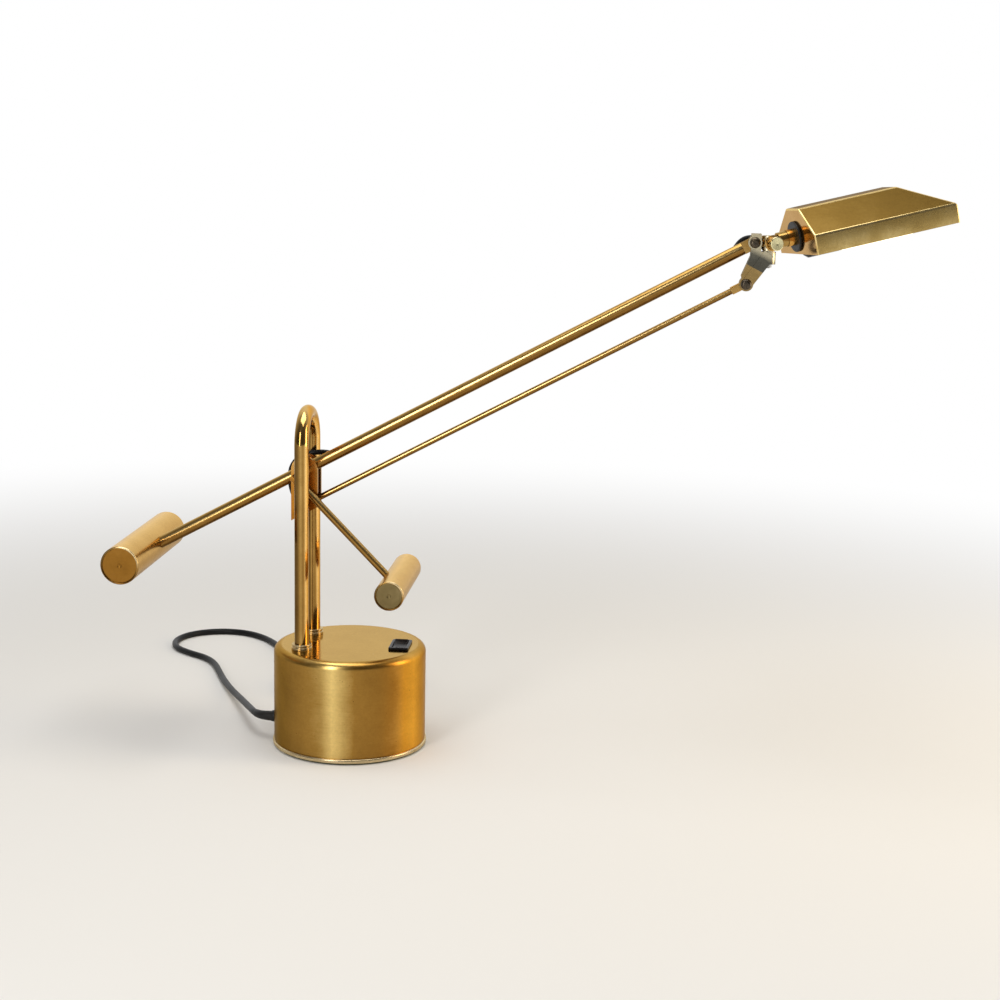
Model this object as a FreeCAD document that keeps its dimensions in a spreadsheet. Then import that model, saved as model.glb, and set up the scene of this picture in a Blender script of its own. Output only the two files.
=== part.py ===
import FreeCAD, Part
import math
import os
import Sketcher
from types import SimpleNamespace
from FreeCAD import Matrix, Placement, Rotation, Vector

# Counterweight balance desk lamp in millimetres.
# X runs along the arm's plane, from the main weight towards the head, Y along the hinge axes,
# away from the viewer, and Z up. The origin is the middle of the felt's underside.

# ---------------------------------------------------------------- driving dimensions
SIZES = [
    # base
    ("base_r", 65.0), ("base_top_z", 88.0), ("shell_wall", 2.0), ("top_fillet", 6.5),
    ("felt_in", 1.5), ("felt_thick", 1.5), ("ring_out", 1.0), ("ring_high", 3.5),
    ("ring_wide", 5.0), ("plate_thick", 2.5), ("ballast_gap", 6.0), ("ballast_thick", 10.0),
    ("base_screw_r", 1.75), ("base_screw_in", 17.0), ("pillar_r", 4.0),
    # stand
    ("stand_x", -37.0), ("leg_y", 26.0), ("leg_r", 6.0), ("leg_wall", 1.5), ("stand_top_z", 293.0),
    ("leg_end_drop", 12.0), ("collar_r", 8.6), ("collar_high", 5.0), ("nut_r", 9.0), ("nut_thick", 5.0),
    # main pivot
    ("pivot_z", 239.0), ("axle_r", 3.0), ("axle_half", 24.0), ("sleeve_r", 4.4), ("sleeve_half", 6.0),
    ("spacer_r", 4.6),
    # main arm
    ("arm_pitch", 28.4), ("arm_len", 416.5), ("arm_r", 5.0), ("arm_wall", 1.2), ("tube_end_gap", 10.5),
    ("plug_len", 6.5), ("eye_r", 5.0), ("tongue_half", 2.5), ("bush_r", 2.95), ("bush_half", 2.9),
    ("rivet_r", 2.0),
    # main counterweight
    ("weight_dist", 160.0), ("weight_rise", 3.0), ("weight_r", 16.0), ("weight_half", 74.0),
    ("case_wall", 1.5), ("cap_thick", 1.6), ("cap_sink", 0.5), ("grub_r", 2.0),
    # link and small counterweight
    ("link_dx", -5.8), ("link_dz", -33.5), ("plate_in", 6.2), ("link_thick", 3.0), ("link_left", 12.3),
    ("link_right", 10.3), ("link_foot", 5.9), ("rib_wide", 3.0), ("rib_proud", 0.8),
    ("swing_angle", -45.7), ("swing_off", 10.6), ("swing_y", 12.6), ("swing_r", 3.15),
    ("socket_r", 4.2), ("socket_from", -4.0), ("socket_to", 11.0),
    ("small_r", 12.35), ("small_half", 53.5), ("small_dist", 122.7), ("rod_past", 5.0),
    # tie rod
    ("tie_r", 2.5), ("tie_eye_r", 4.7), ("tie_neck_r", 3.3), ("tie_neck_len", 10.0),
    # head bracket
    ("bracket_in", 3.2), ("bracket_thick", 2.8), ("boss_r", 5.6), ("foot_boss_r", 5.7),
    ("bar_wide", 8.6), ("bar_proud", 1.0), ("swivel_dx", 11.1), ("table_dz", -7.2), ("block_high", 10.0),
    ("block_r", 6.0), ("cap_right", 5.0), ("cap_up", 7.0), ("screw_head_r", 4.4), ("screw_head_high", 3.0),
    # swivel and clamp knob
    ("knuckle_r", 5.8), ("knuckle_top", 5.6), ("slot_half", 2.6), ("pan_pin_r", 1.6), ("clamp_r", 2.0),
    ("knob_start", 7.0), ("knob_end", 18.4), ("knob_ring_r", 6.4), ("knob_barrel_r", 5.3), ("knob_head_r", 5.6),
    # head
    ("head_pan", 19.2), ("head_tilt", 12.4), ("head_roll", 2.2), ("stem_len", 23.8), ("stem_r", 6.4), ("stem_neck", 7.5),
    ("stem_bore", 2.6), ("spigot_r", 4.0), ("washer_r", 12.5), ("washer_thick", 2.2), ("stem_nut_r", 7.5),
    ("stem_nut_thick", 4.0),
    ("shade_len", 125.0), ("shade_half", 38.5), ("ridge_half", 12.5), ("ridge_len", 87.0),
    ("ridge_up", 22.6), ("eave_up", 1.1), ("lip_down", 14.5), ("shade_thick", 0.9), ("fold_r", 1.6),
    # lampholder and lamp
    ("lamp_drop", 6.5), ("holder_r", 12.5), ("holder_len", 29.0), ("holder_bore", 10.5),
    ("lamp_r", 14.0), ("lamp_from", 36.0), ("lamp_to", 106.0), ("lamp_cap_r", 7.0),
    # switch
    ("switch_x", 44.0), ("switch_y", -3.5), ("bezel_x", 17.0), ("bezel_y", 29.0), ("bezel_high", 2.2),
    ("rocker_x", 11.0), ("rocker_y", 21.0), ("rocker_tilt", 7.0), ("rocker_room", 1.0), ("switch_deep", 18.0),
    # leads and mains cord
    ("stand_lead_r", 2.25), ("head_lead_r", 2.0), ("inner_lead_r", 1.6), ("arm_lead_r", 1.9), ("grommet_wall", 0.7),
    ("cord_r", 3.0), ("exit_z", 19.4), ("gland_r", 5.4), ("gland_out", 3.0), ("coil_r", 33.2),
    ("coil_band", 18.6), ("coil_high", 12.3),
    # clearances
    ("running", 0.03), ("gap", 0.1), ("loop_play", 0.6),
]

doc = FreeCAD.newDocument("balance_lamp")
sheet = doc.addObject("Spreadsheet::Sheet", "sizes")
for row, (alias, size) in enumerate(SIZES, start=1):
    sheet.set("A%d" % row, alias)
    sheet.set("B%d" % row, str(size))
    sheet.setAlias("B%d" % row, alias)
doc.recompute()
V = SimpleNamespace(**dict(SIZES))

UP = Vector(0, 0, 1)
EAST = Vector(1, 0, 0)
AWAY = Vector(0, 1, 0)
nodes = []


# ---------------------------------------------------------------- helpers
def bind(obj, **sizes):
    """Tie properties to expressions on the sheet."""
    for name, text in sizes.items():
        obj.setExpression(name, text)
    return obj


def aimed(at, along):
    """Placement whose own Z runs along the given direction."""
    return Placement(at, Rotation(UP, along))


def framed(at, x_axis, y_axis):
    """Placement whose own X and Y run along two given directions."""
    return Placement(at, Rotation(x_axis, y_axis, x_axis.cross(y_axis), "XYZ"))


def rod(name, radius, length, at, along=UP):
    obj = doc.addObject("Part::Cylinder", name)
    bind(obj, Radius=radius, Height=length)
    obj.Placement = aimed(at, along)
    return obj


def block(name, long_x, long_y, long_z, corner_frame):
    obj = doc.addObject("Part::Box", name)
    bind(obj, Length=long_x, Width=long_y, Height=long_z)
    obj.Placement = corner_frame
    return obj


def join(name, *pieces):
    obj = doc.addObject("Part::MultiFuse", name)
    obj.Shapes = list(pieces)
    obj.Refine = True
    return obj


def cut(name, base, *tools):
    obj = doc.addObject("Part::Cut", name)
    obj.Base = base
    obj.Tool = tools[0] if len(tools) == 1 else join(name + "_tools", *tools)
    obj.Refine = True
    return obj


def keep(name, base, *others):
    obj = doc.addObject("Part::MultiCommon", name)
    obj.Shapes = [base] + list(others)
    return obj


def part(obj, label):
    """Name a finished sub-part after its file."""
    obj.Label = label
    nodes.append(obj)
    return obj


def group(name, *pieces):
    """Several equal pieces in one node."""
    obj = doc.addObject("Part::Compound", name)
    obj.Links = list(pieces)
    return obj


def plane_of(body, role):
    return [f for f in body.Origin.OriginFeatures if f.Role == role][0]


def outline(sketch, points):
    """Closed outline: pairs are corners, and a triple after a corner is an arc's middle and end."""
    flat = [Vector(p[0], p[1], 0) for p in points]
    start, last = flat[0], flat[0]
    for given, p in list(zip(points, flat))[1:]:
        if len(given) == 4:
            end = Vector(given[2], given[3], 0)
            sketch.addGeometry(Part.Arc(last, p, end), False)
            last = end
        else:
            sketch.addGeometry(Part.LineSegment(last, p), False)
            last = p
    if last.distanceToPoint(start) > 1e-7:
        sketch.addGeometry(Part.LineSegment(last, start), False)


def turned(name, points, at=Vector(0, 0, 0), along=UP):
    """Turned piece: half outline (radius, height) revolved about its own Z."""
    body = doc.addObject("PartDesign::Body", name)
    sketch = body.newObject("Sketcher::SketchObject", name + "_profile")
    sketch.AttachmentSupport = (plane_of(body, "XZ_Plane"), "")
    sketch.MapMode = "FlatFace"
    outline(sketch, points)
    turn = body.newObject("PartDesign::Revolution", name + "_turn")
    turn.Profile = sketch
    turn.ReferenceAxis = (sketch, ["V_Axis"])
    turn.Angle = 360
    body.Placement = aimed(at, along)
    return body


def padded(name, points, thickness, frame, holes=()):
    """Plate: outline in its own XY, with round holes, padded along its own Z."""
    body = doc.addObject("PartDesign::Body", name)
    sketch = body.newObject("Sketcher::SketchObject", name + "_outline")
    sketch.AttachmentSupport = (plane_of(body, "XY_Plane"), "")
    sketch.MapMode = "FlatFace"
    outline(sketch, points)
    for x, y, size in holes:
        edge = sketch.addGeometry(Part.Circle(Vector(x, y, 0), UP, 1.0), False)
        hole = sketch.addConstraint(Sketcher.Constraint("Radius", edge, 1.0))
        sketch.setExpression("Constraints[%d]" % hole, size)
    pad = body.newObject("PartDesign::Pad", name + "_pad")
    pad.Profile = sketch
    bind(pad, Length=thickness)
    body.Placement = frame
    return body


def hexagon(radius):
    """Corners of a nut's outline."""
    return [(radius * math.cos(math.radians(60 * k)), radius * math.sin(math.radians(60 * k)))
            for k in range(6)]


def swept(points, radius, tell=None, share=0.45):
    """Round wire along straight runs joined by tangent arcs, each arc as large as its runs allow."""
    pts = [Vector(*p) for p in points]
    edges, start, length, radii = [], pts[0], 0.0, []
    for a, b, c in zip(pts, pts[1:], pts[2:]):
        back, ahead = (a - b), (c - b)
        half = (math.pi - back.getAngle(ahead)) / 2
        reach = share * min(back.Length, ahead.Length)
        bend = reach / math.tan(half)
        radii.append(bend)
        inward = (back.normalize() + ahead.normalize()).normalize()
        p, q = b + back * reach, b + ahead * reach
        middle = b + inward * (bend / math.cos(half) - bend)
        edges += [Part.LineSegment(start, p).toShape(), Part.Arc(p, middle, q).toShape()]
        length += (p - start).Length + 2 * half * bend
        start = q
    edges.append(Part.LineSegment(start, pts[-1]).toShape())
    length += (pts[-1] - start).Length
    path = Part.Wire(edges)
    first = (pts[1] - pts[0]).normalize()
    disc = Part.Wire([Part.makeCircle(radius, pts[0], first)])
    solid = path.makePipeShell([disc], True, False)
    if solid.Volume < 0:
        solid.reverse()
    if tell:
        expected = math.pi * radius ** 2 * length
        print("%s: length %.0f mm, volume %.4f of section x length, radii %s"
              % (tell, length, solid.Volume / expected, " ".join("%.1f" % value for value in radii)))
    return solid, length


def made(name, shape):
    """Sub-part whose shape is worked out here, with no feature of its own."""
    obj = doc.addObject("Part::Feature", name)
    obj.Shape = shape
    obj.Placement = Placement()
    return obj


# ---------------------------------------------------------------- base
felt_top = V.felt_thick
ring_top = V.felt_thick + V.ring_high
shell_in = V.base_r - V.shell_wall
fillet_mid = math.sqrt(0.5) * V.top_fillet
inner_fillet = V.top_fillet - V.shell_wall
inner_mid = math.sqrt(0.5) * inner_fillet
crown_r = V.base_r - V.top_fillet
crown_z = V.base_top_z - V.top_fillet
legs = [(V.stand_x, -V.leg_y), (V.stand_x, V.leg_y)]

shell_body = turned("shell_spun", [
    (shell_in, ring_top), (V.base_r, ring_top), (V.base_r, crown_z),
    (crown_r + fillet_mid, crown_z + fillet_mid, crown_r, V.base_top_z),
    (0, V.base_top_z), (0, V.base_top_z - V.shell_wall), (crown_r, V.base_top_z - V.shell_wall),
    (crown_r + inner_mid, crown_z + inner_mid, shell_in, crown_z)])
shell_cuts = [rod("leg_hole_%d" % k, "sizes.leg_r + sizes.running", "4 * sizes.shell_wall",
                  Vector(x, y, V.base_top_z - 2 * V.shell_wall)) for k, (x, y) in enumerate(legs)]
shell_cuts.append(block("switch_hole", "sizes.bezel_x - 3", "sizes.bezel_y - 4", "4 * sizes.shell_wall",
                        Placement(Vector(V.switch_x - V.bezel_x / 2 + 1.5, V.switch_y - V.bezel_y / 2 + 2,
                                         V.base_top_z - 2 * V.shell_wall), Rotation())))
shell_cuts.append(rod("gland_hole", "sizes.gland_r - 0.95", "4 * sizes.shell_wall",
                      Vector(-V.base_r + 2 * V.shell_wall, 0, V.exit_z), -EAST))
part(cut("base_shell_cut", shell_body, *shell_cuts), "base_shell")

part(cut("ring_cut", rod("ring_outer", "sizes.base_r + sizes.ring_out", "sizes.ring_high", Vector(0, 0, felt_top)),
         rod("ring_inner", "sizes.base_r + sizes.ring_out - sizes.ring_wide", "sizes.ring_high", Vector(0, 0, felt_top))),
     "base_ring")
part(rod("felt", "sizes.base_r - sizes.felt_in", "sizes.felt_thick", Vector(0, 0, 0)), "felt_pad")

base_screw_circle = V.base_r - V.base_screw_in
screw_spots = [(base_screw_circle * math.cos(math.radians(a)), base_screw_circle * math.sin(math.radians(a)))
               for a in (40, 110, 250, 320)]
plate_z = Vector(0, 0, felt_top)
bottom = rod("bottom_disc", "sizes.base_r + sizes.ring_out - sizes.ring_wide - sizes.gap", "sizes.plate_thick", plate_z)
part(cut("bottom_cut", bottom, *[rod("plate_hole_%d" % k, "sizes.base_screw_r + sizes.running",
                                     "sizes.plate_thick", Vector(x, y, felt_top))
                                 for k, (x, y) in enumerate(screw_spots)]), "bottom_plate")

ballast_z = felt_top + V.plate_thick
ballast = rod("ballast_disc", "sizes.base_r - sizes.shell_wall - sizes.ballast_gap", "sizes.ballast_thick", Vector(0, 0, ballast_z))
ballast_cuts = [rod("ballast_hole_%d" % k, "sizes.base_screw_r + sizes.running", "sizes.ballast_thick",
                    Vector(x, y, ballast_z)) for k, (x, y) in enumerate(screw_spots)]
part(cut("ballast_cut", ballast, *ballast_cuts), "ballast")

# Four screws run up through plate and ballast into pillars that hang under the shell's crown.
pillar_z = ballast_z + V.ballast_thick
screws, pillars = [], []
for k, (x, y) in enumerate(screw_spots):
    screws.append(rod("base_screw_%d" % k, "sizes.base_screw_r",
                      "sizes.plate_thick + sizes.ballast_thick + 8", Vector(x, y, felt_top)))
    pillars.append(cut("pillar_%d" % k,
                       rod("pillar_post_%d" % k, "sizes.pillar_r", "%f - sizes.shell_wall" %
                           (V.base_top_z - pillar_z), Vector(x, y, pillar_z)),
                       rod("pillar_bore_%d" % k, "sizes.base_screw_r + sizes.running", "10",
                           Vector(x, y, pillar_z))))
base_screws = screws
part(group("pillar_set", *pillars), "base_pillars")

# ---------------------------------------------------------------- stand
bend_z = V.stand_top_z - V.leg_r - V.leg_y
leg_foot_z = V.base_top_z - V.leg_end_drop


def arch(name, radius):
    """Inverted U of round bar: two legs and half a ring."""
    pieces = [rod("%s_leg_%d" % (name, k), radius, "%f" % (bend_z - leg_foot_z), Vector(x, y, leg_foot_z))
              for k, (x, y) in enumerate(legs)]
    bow = doc.addObject("Part::Torus", name + "_bow")
    bind(bow, Radius1="sizes.leg_y", Radius2=radius)
    bow.Angle3 = 180
    bow.Placement = framed(Vector(V.stand_x, 0, bend_z), AWAY, UP)
    return join(name, bow, *pieces)


lead_z = V.pivot_z - 36
near_seat = rod("near_seat", "sizes.axle_r + sizes.running", "sizes.leg_r",
                Vector(V.stand_x, -V.leg_y, V.pivot_z), AWAY)
far_seat = rod("far_seat", "sizes.axle_r + sizes.running", "sizes.leg_r",
               Vector(V.stand_x, V.leg_y, V.pivot_z), -AWAY)
lead_hole = rod("leg_lead_hole", "sizes.stand_lead_r + sizes.grommet_wall + sizes.running", "sizes.leg_r",
                Vector(V.stand_x, V.leg_y, lead_z), -EAST)
part(cut("stand_cut", arch("stand_outer", "sizes.leg_r"), arch("stand_inner", "sizes.leg_r - sizes.leg_wall"),
         near_seat, far_seat, lead_hole), "stand_tube")

collars, nuts = [], []
for k, (x, y) in enumerate(legs):
    inner = V.leg_r + V.running
    soft = 1.6
    collars.append(turned("collar_%d" % k, [
        (inner, 0), (V.collar_r - 0.4, 0), (V.collar_r, 0.4), (V.collar_r, V.collar_high - soft),
        (V.collar_r - 0.3 * soft, V.collar_high - 0.3 * soft, V.collar_r - soft, V.collar_high),
        (inner, V.collar_high)], Vector(x, y, V.base_top_z)))
    nuts.append(padded("leg_nut_%d" % k, hexagon(V.nut_r), "sizes.nut_thick",
                       Placement(Vector(x, y, V.base_top_z - V.shell_wall - V.nut_thick), Rotation()),
                       [(0, 0, "sizes.leg_r + sizes.running")]))
part(group("collar_set", *collars), "leg_collars")
part(group("leg_nut_set", *nuts), "leg_nuts")

# ---------------------------------------------------------------- main pivot
pivot = Vector(V.stand_x, 0, V.pivot_z)
part(rod("axle", "sizes.axle_r", "2 * sizes.axle_half", pivot - AWAY * V.axle_half, AWAY), "main_axle")
plate_out = V.plate_in + V.link_thick
spacers = []
for side in (-1, 1):
    at = pivot + AWAY * side * (plate_out + V.gap)
    long = "sizes.leg_y - sizes.leg_r - sizes.plate_in - sizes.link_thick - 2 * sizes.gap"
    spacers.append(cut("spacer_%d" % (side + 1), rod("spacer_body_%d" % (side + 1), "sizes.spacer_r", long,
                                                     at, AWAY * side),
                       rod("spacer_bore_%d" % (side + 1), "sizes.axle_r + sizes.running", long, at, AWAY * side)))
part(group("spacer_set", *spacers), "axle_spacers")

# ---------------------------------------------------------------- main arm
pitch = math.radians(V.arm_pitch)
arm_dir = Vector(math.cos(pitch), 0, math.sin(pitch))
arm_up = Vector(-math.sin(pitch), 0, math.cos(pitch))
head_pivot = pivot + arm_dir * V.arm_len
weight_at = pivot - arm_dir * V.weight_dist + arm_up * V.weight_rise
tube_from, tube_to = V.weight_dist + 6.0, V.arm_len - V.tube_end_gap
lead_in, lead_out = 22.0, V.arm_len - 21.0


def on_arm(along, up=0.0, away=0.0):
    return pivot + arm_dir * along + arm_up * up + AWAY * away


tube_start = on_arm(-tube_from)
arm_long = "sizes.weight_dist + 6 + sizes.arm_len - sizes.tube_end_gap"
part(cut("arm_cut", rod("arm_outer", "sizes.arm_r", arm_long, tube_start, arm_dir),
         rod("arm_bore", "sizes.arm_r - sizes.arm_wall", arm_long, tube_start, arm_dir),
         rod("arm_cross", "sizes.sleeve_r + sizes.running", "4 * sizes.arm_r", pivot - AWAY * 2 * V.arm_r, AWAY),
         rod("arm_lead_in", "sizes.stand_lead_r + sizes.grommet_wall + sizes.running", "2 * sizes.arm_r",
             on_arm(lead_in), AWAY),
         rod("arm_lead_out", "sizes.head_lead_r + sizes.grommet_wall + sizes.running", "2 * sizes.arm_r",
             on_arm(lead_out), AWAY)), "main_arm")
part(cut("sleeve_cut", rod("sleeve_body", "sizes.sleeve_r", "2 * sizes.sleeve_half",
                           pivot - AWAY * V.sleeve_half, AWAY),
         rod("sleeve_bore", "sizes.axle_r + sizes.running", "2 * sizes.sleeve_half",
             pivot - AWAY * V.sleeve_half, AWAY)), "pivot_sleeve")

tongue_frame = framed(on_arm(tube_to, -V.eye_r, -V.tongue_half), arm_dir, AWAY)
fitting = join("fitting", rod("fitting_plug", "sizes.arm_r - sizes.arm_wall - sizes.running", "sizes.plug_len",
                              on_arm(tube_to - V.plug_len), arm_dir),
               block("fitting_neck", "sizes.tube_end_gap", "2 * sizes.tongue_half", "2 * sizes.eye_r",
                     framed(on_arm(tube_to, -V.eye_r, -V.tongue_half), arm_dir, AWAY)),
               rod("fitting_eye", "sizes.eye_r", "2 * sizes.tongue_half",
                   head_pivot - AWAY * V.tongue_half, AWAY))
part(cut("fitting_cut", fitting, rod("fitting_bore", "sizes.bush_r + sizes.running", "4 * sizes.tongue_half",
                                     head_pivot - AWAY * 2 * V.tongue_half, AWAY)), "arm_end_eye")


def bush(name, at):
    return cut(name, rod(name + "_body", "sizes.bush_r", "2 * sizes.bush_half", at - AWAY * V.bush_half, AWAY),
               rod(name + "_bore", "sizes.rivet_r + sizes.running", "2 * sizes.bush_half",
                   at - AWAY * V.bush_half, AWAY))


main_screw_from = weight_at - arm_up * (V.weight_rise + V.arm_r + V.gap)
screw_len = V.weight_r - (V.weight_rise + V.arm_r + V.gap) - 0.6


def make_weight(name, at, radius, half, radius_mm, half_mm, bore_start, bore_dir, bore_len, bore_r,
                screw_start, screw_dir, screw_long):
    near = at - AWAY * half_mm
    bore = rod(name + "_rod_hole", bore_r, "%f" % bore_len, bore_start, bore_dir)
    grub_hole = rod(name + "_grub_hole", "sizes.grub_r + sizes.running", "%f" % radius_mm,
                    screw_start, screw_dir)
    case = cut(name + "_case_cut", rod(name + "_skin", radius, "2 * " + half, near, AWAY),
               rod(name + "_hollow", radius + " - sizes.case_wall", "2 * " + half, near, AWAY),
               bore, grub_hole)
    sunk = V.cap_thick + V.cap_sink
    core = cut(name + "_core_cut", rod(name + "_slug", radius + " - sizes.case_wall - sizes.running",
                                       "2 * (%s - sizes.cap_thick - sizes.cap_sink)" % half,
                                       near + AWAY * sunk, AWAY), bore, grub_hole)
    caps = [rod("%s_cap_%d" % (name, side + 1), radius + " - sizes.case_wall - sizes.running",
                "sizes.cap_thick", at + AWAY * side * (half_mm - sunk), AWAY * side) for side in (-1, 1)]
    part(case, name + "_case")
    part(core, name + "_core")
    part(group(name + "_cap_set", *caps), name + "_ends")
    part(rod(name + "_grub", "sizes.grub_r", "%f" % screw_long, screw_start, screw_dir), name + "_screw")


make_weight("main_weight", weight_at, "sizes.weight_r", "sizes.weight_half", V.weight_r, V.weight_half,
            on_arm(-tube_from - V.gap), arm_dir, 40.0, "sizes.arm_r + sizes.running",
            main_screw_from, -arm_up, screw_len)

# ---------------------------------------------------------------- link
link_pivot = pivot + Vector(V.link_dx, 0, V.link_dz)
swing = math.radians(V.swing_angle)
swing_dir = Vector(math.cos(swing), 0, math.sin(swing))
swing_side = Vector(swing_dir.z, 0, -swing_dir.x)


def on_swing(along):
    return pivot + swing_side * V.swing_off + swing_dir * along - AWAY * V.swing_y


slope = math.tan(pitch)
left, right = -V.link_left, V.link_right
foot = V.link_dz - V.link_foot / math.cos(pitch)
mid_x, round_r = (left + right) / 2, (right - left) / 2
link_outline = [(left, foot + slope * (left - V.link_dx)), (right, foot + slope * (right - V.link_dx)),
                (right, 0), (mid_x, round_r, left, 0)]
link_holes = [(0, 0, "sizes.axle_r + sizes.running"), (V.link_dx, V.link_dz, "sizes.rivet_r + sizes.running")]
# An outline in X and Z: its own Y is the model's Z, so it is padded towards the viewer.
near_plate = padded("link_near_blank", link_outline, "sizes.link_thick",
                    framed(pivot - AWAY * V.plate_in, EAST, UP), link_holes)
far_plate = padded("link_far_blank", link_outline, "sizes.link_thick",
                   framed(pivot + AWAY * plate_out, EAST, UP), link_holes)
rib_at = pivot + Vector(left, 0, 0.42 * V.link_dz + slope * (left - V.link_dx)) - AWAY * plate_out
rib = keep("link_rib", padded("rib_blank", [(0, 0), (right - left, slope * (right - left)),
                                            (right - left, slope * (right - left) + V.rib_wide),
                                            (0, V.rib_wide)], "sizes.rib_proud", framed(rib_at, EAST, UP)),
           block("rib_room", "sizes.link_left + sizes.link_right", "4 * sizes.link_thick", "100",
                 Placement(Vector(V.stand_x + left, -plate_out - V.link_thick, V.pivot_z - 60), Rotation())))
socket = rod("swing_socket", "sizes.socket_r", "sizes.socket_to - sizes.socket_from",
             on_swing(V.socket_from), swing_dir)
socket_bore = rod("socket_bore", "sizes.swing_r + sizes.running", "sizes.socket_to - sizes.socket_from",
                  on_swing(V.socket_from + 2.0), swing_dir)
groove = rod("plate_groove", "sizes.swing_r + 2 * sizes.running", "60", on_swing(V.socket_to), swing_dir)
part(cut("link_near_cut", join("link_near", near_plate, socket), socket_bore, groove), "link_plate_near")
part(far_plate, "link_plate_far")

rivet = rod("rivet_shank", "sizes.rivet_r", "2 * (sizes.plate_in + sizes.link_thick)",
            link_pivot - AWAY * plate_out, AWAY)
heads = [rod("rivet_head_%d" % (side + 1), "1.8 * sizes.rivet_r", "1.2", link_pivot + AWAY * side * plate_out,
             AWAY * side) for side in (-1, 1)]
rivet = join("rivet", rivet, *heads)
washers = []
for side in (-1, 1):
    at = link_pivot + AWAY * side * (V.bush_half + V.gap)
    long = "sizes.plate_in - sizes.bush_half - 2 * sizes.gap"
    washers.append(cut("link_washer_%d" % (side + 1),
                       rod("washer_body_%d" % (side + 1), "2 * sizes.rivet_r", long, at, AWAY * side),
                       rod("washer_bore_%d" % (side + 1), "sizes.rivet_r + sizes.running", long, at, AWAY * side)))
part(group("link_rivet_set", rivet, *washers), "link_rivet")
part(bush("link_bush_cut", link_pivot), "link_bush")

part(rod("swing_rod_body", "sizes.swing_r", "sizes.small_dist + sizes.rod_past - sizes.socket_from - 2",
         on_swing(V.socket_from + 2.0), swing_dir), "small_weight_rod")
small_at = on_swing(V.small_dist) + AWAY * V.swing_y
make_weight("small_weight", small_at, "sizes.small_r", "sizes.small_half", V.small_r, V.small_half,
            on_swing(V.small_dist + V.rod_past + V.gap), -swing_dir, 30.0, "sizes.swing_r + sizes.running",
            on_swing(V.small_dist) + swing_side * (V.swing_r + V.gap), swing_side,
            V.small_r - V.swing_r - V.gap - 0.6)

# ---------------------------------------------------------------- tie rod
bracket_foot = head_pivot + Vector(V.link_dx, 0, V.link_dz)
tie_gap = V.tie_eye_r - 0.6
part(rod("tie_body", "sizes.tie_r", "sizes.arm_len - 2 * sizes.tie_eye_r + 1.2",
         link_pivot + arm_dir * tie_gap, arm_dir), "tie_rod")
ends = []
# The lower eye turns on its bush; the upper one has play round its screw.
bores = ["sizes.bush_r + sizes.running", "sizes.rivet_r + sizes.loop_play"]
for k, (at, along) in enumerate([(link_pivot, arm_dir), (bracket_foot, -arm_dir)]):
    blank = join("tie_end_%d" % k,
                 rod("tie_eye_%d" % k, "sizes.tie_eye_r", "2 * sizes.tongue_half", at - AWAY * V.tongue_half, AWAY),
                 rod("tie_neck_%d" % k, "sizes.tie_neck_r", "sizes.tie_neck_len", at + along * 3.0, along))
    flat = keep("tie_flat_%d" % k, blank,
                block("tie_room_%d" % k, "60", "2 * sizes.tongue_half", "60",
                      Placement(at + Vector(-30, -V.tongue_half, -30), Rotation())))
    ends.append(cut("tie_end_cut_%d" % k, flat,
                    rod("tie_eye_bore_%d" % k, bores[k], "20", at - AWAY * 10, AWAY),
                    rod("tie_neck_bore_%d" % k, "sizes.tie_r", "20", at + along * tie_gap, along)))
part(group("tie_end_set", *ends), "tie_rod_ends")

# ---------------------------------------------------------------- head bracket
part(bush("head_bush_cut", head_pivot), "head_bush")
swivel_at = head_pivot + Vector(V.swivel_dx, 0, 0)
table_z = swivel_at.z + V.table_dz
cheek_out = V.bracket_in + V.bracket_thick
foot_rel = Vector(V.link_dx, V.link_dz, 0)


def cheek(name, start_y):
    """Side plate: a strip from pivot to foot, a corner out to the swivel, and a squared cap above."""
    frame = framed(head_pivot + AWAY * start_y, EAST, UP)
    shape = [(-3.4, -5.2), (-3.4, -10.8), (foot_rel.x - 4.3, foot_rel.y + 6.6), (foot_rel.x - 3.0, foot_rel.y),
             (foot_rel.x + 4.2, foot_rel.y - 2.4), (V.swivel_dx + 2.5, V.table_dz - V.block_high + 2.0),
             (V.swivel_dx + 2.5, V.table_dz), (V.cap_right, V.table_dz), (V.cap_right, V.cap_up),
             (-3.0, V.cap_up)]
    return join(name, padded(name + "_web", shape, "sizes.bracket_thick", frame),
                rod(name + "_boss", "sizes.boss_r", "sizes.bracket_thick", head_pivot + AWAY * start_y, -AWAY),
                rod(name + "_foot", "sizes.foot_boss_r", "sizes.bracket_thick",
                    bracket_foot + AWAY * start_y, -AWAY))


near_cheek = cheek("cheek_near", -V.bracket_in)
far_cheek = cheek("cheek_far", cheek_out)
swivel_block = join("swivel_block",
                    block("block_box", "sizes.block_r", "2 * (sizes.bracket_in + sizes.bracket_thick)",
                          "sizes.block_high", Placement(Vector(swivel_at.x - V.block_r, -cheek_out,
                                                               table_z - V.block_high), Rotation())),
                    rod("block_round", "sizes.block_r", "sizes.block_high",
                        Vector(swivel_at.x, 0, table_z - V.block_high)))
bar_top = Vector(V.swivel_dx + 0.5, V.table_dz - 1.0, 0)
bar_dir = (bar_top - foot_rel).normalize()
bar_side = Vector(bar_dir.y, -bar_dir.x, 0) * (V.bar_wide / 2)
bar_low = foot_rel + bar_dir * 3.0
bar = padded("bracket_bar", [(p.x, p.y) for p in (bar_low - bar_side, bar_low + bar_side, bar_top + bar_side,
                                                  bar_top - bar_side)], "sizes.bar_proud",
             framed(head_pivot - AWAY * cheek_out, EAST, UP))
bracket = join("bracket", near_cheek, far_cheek, swivel_block, bar)
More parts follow.
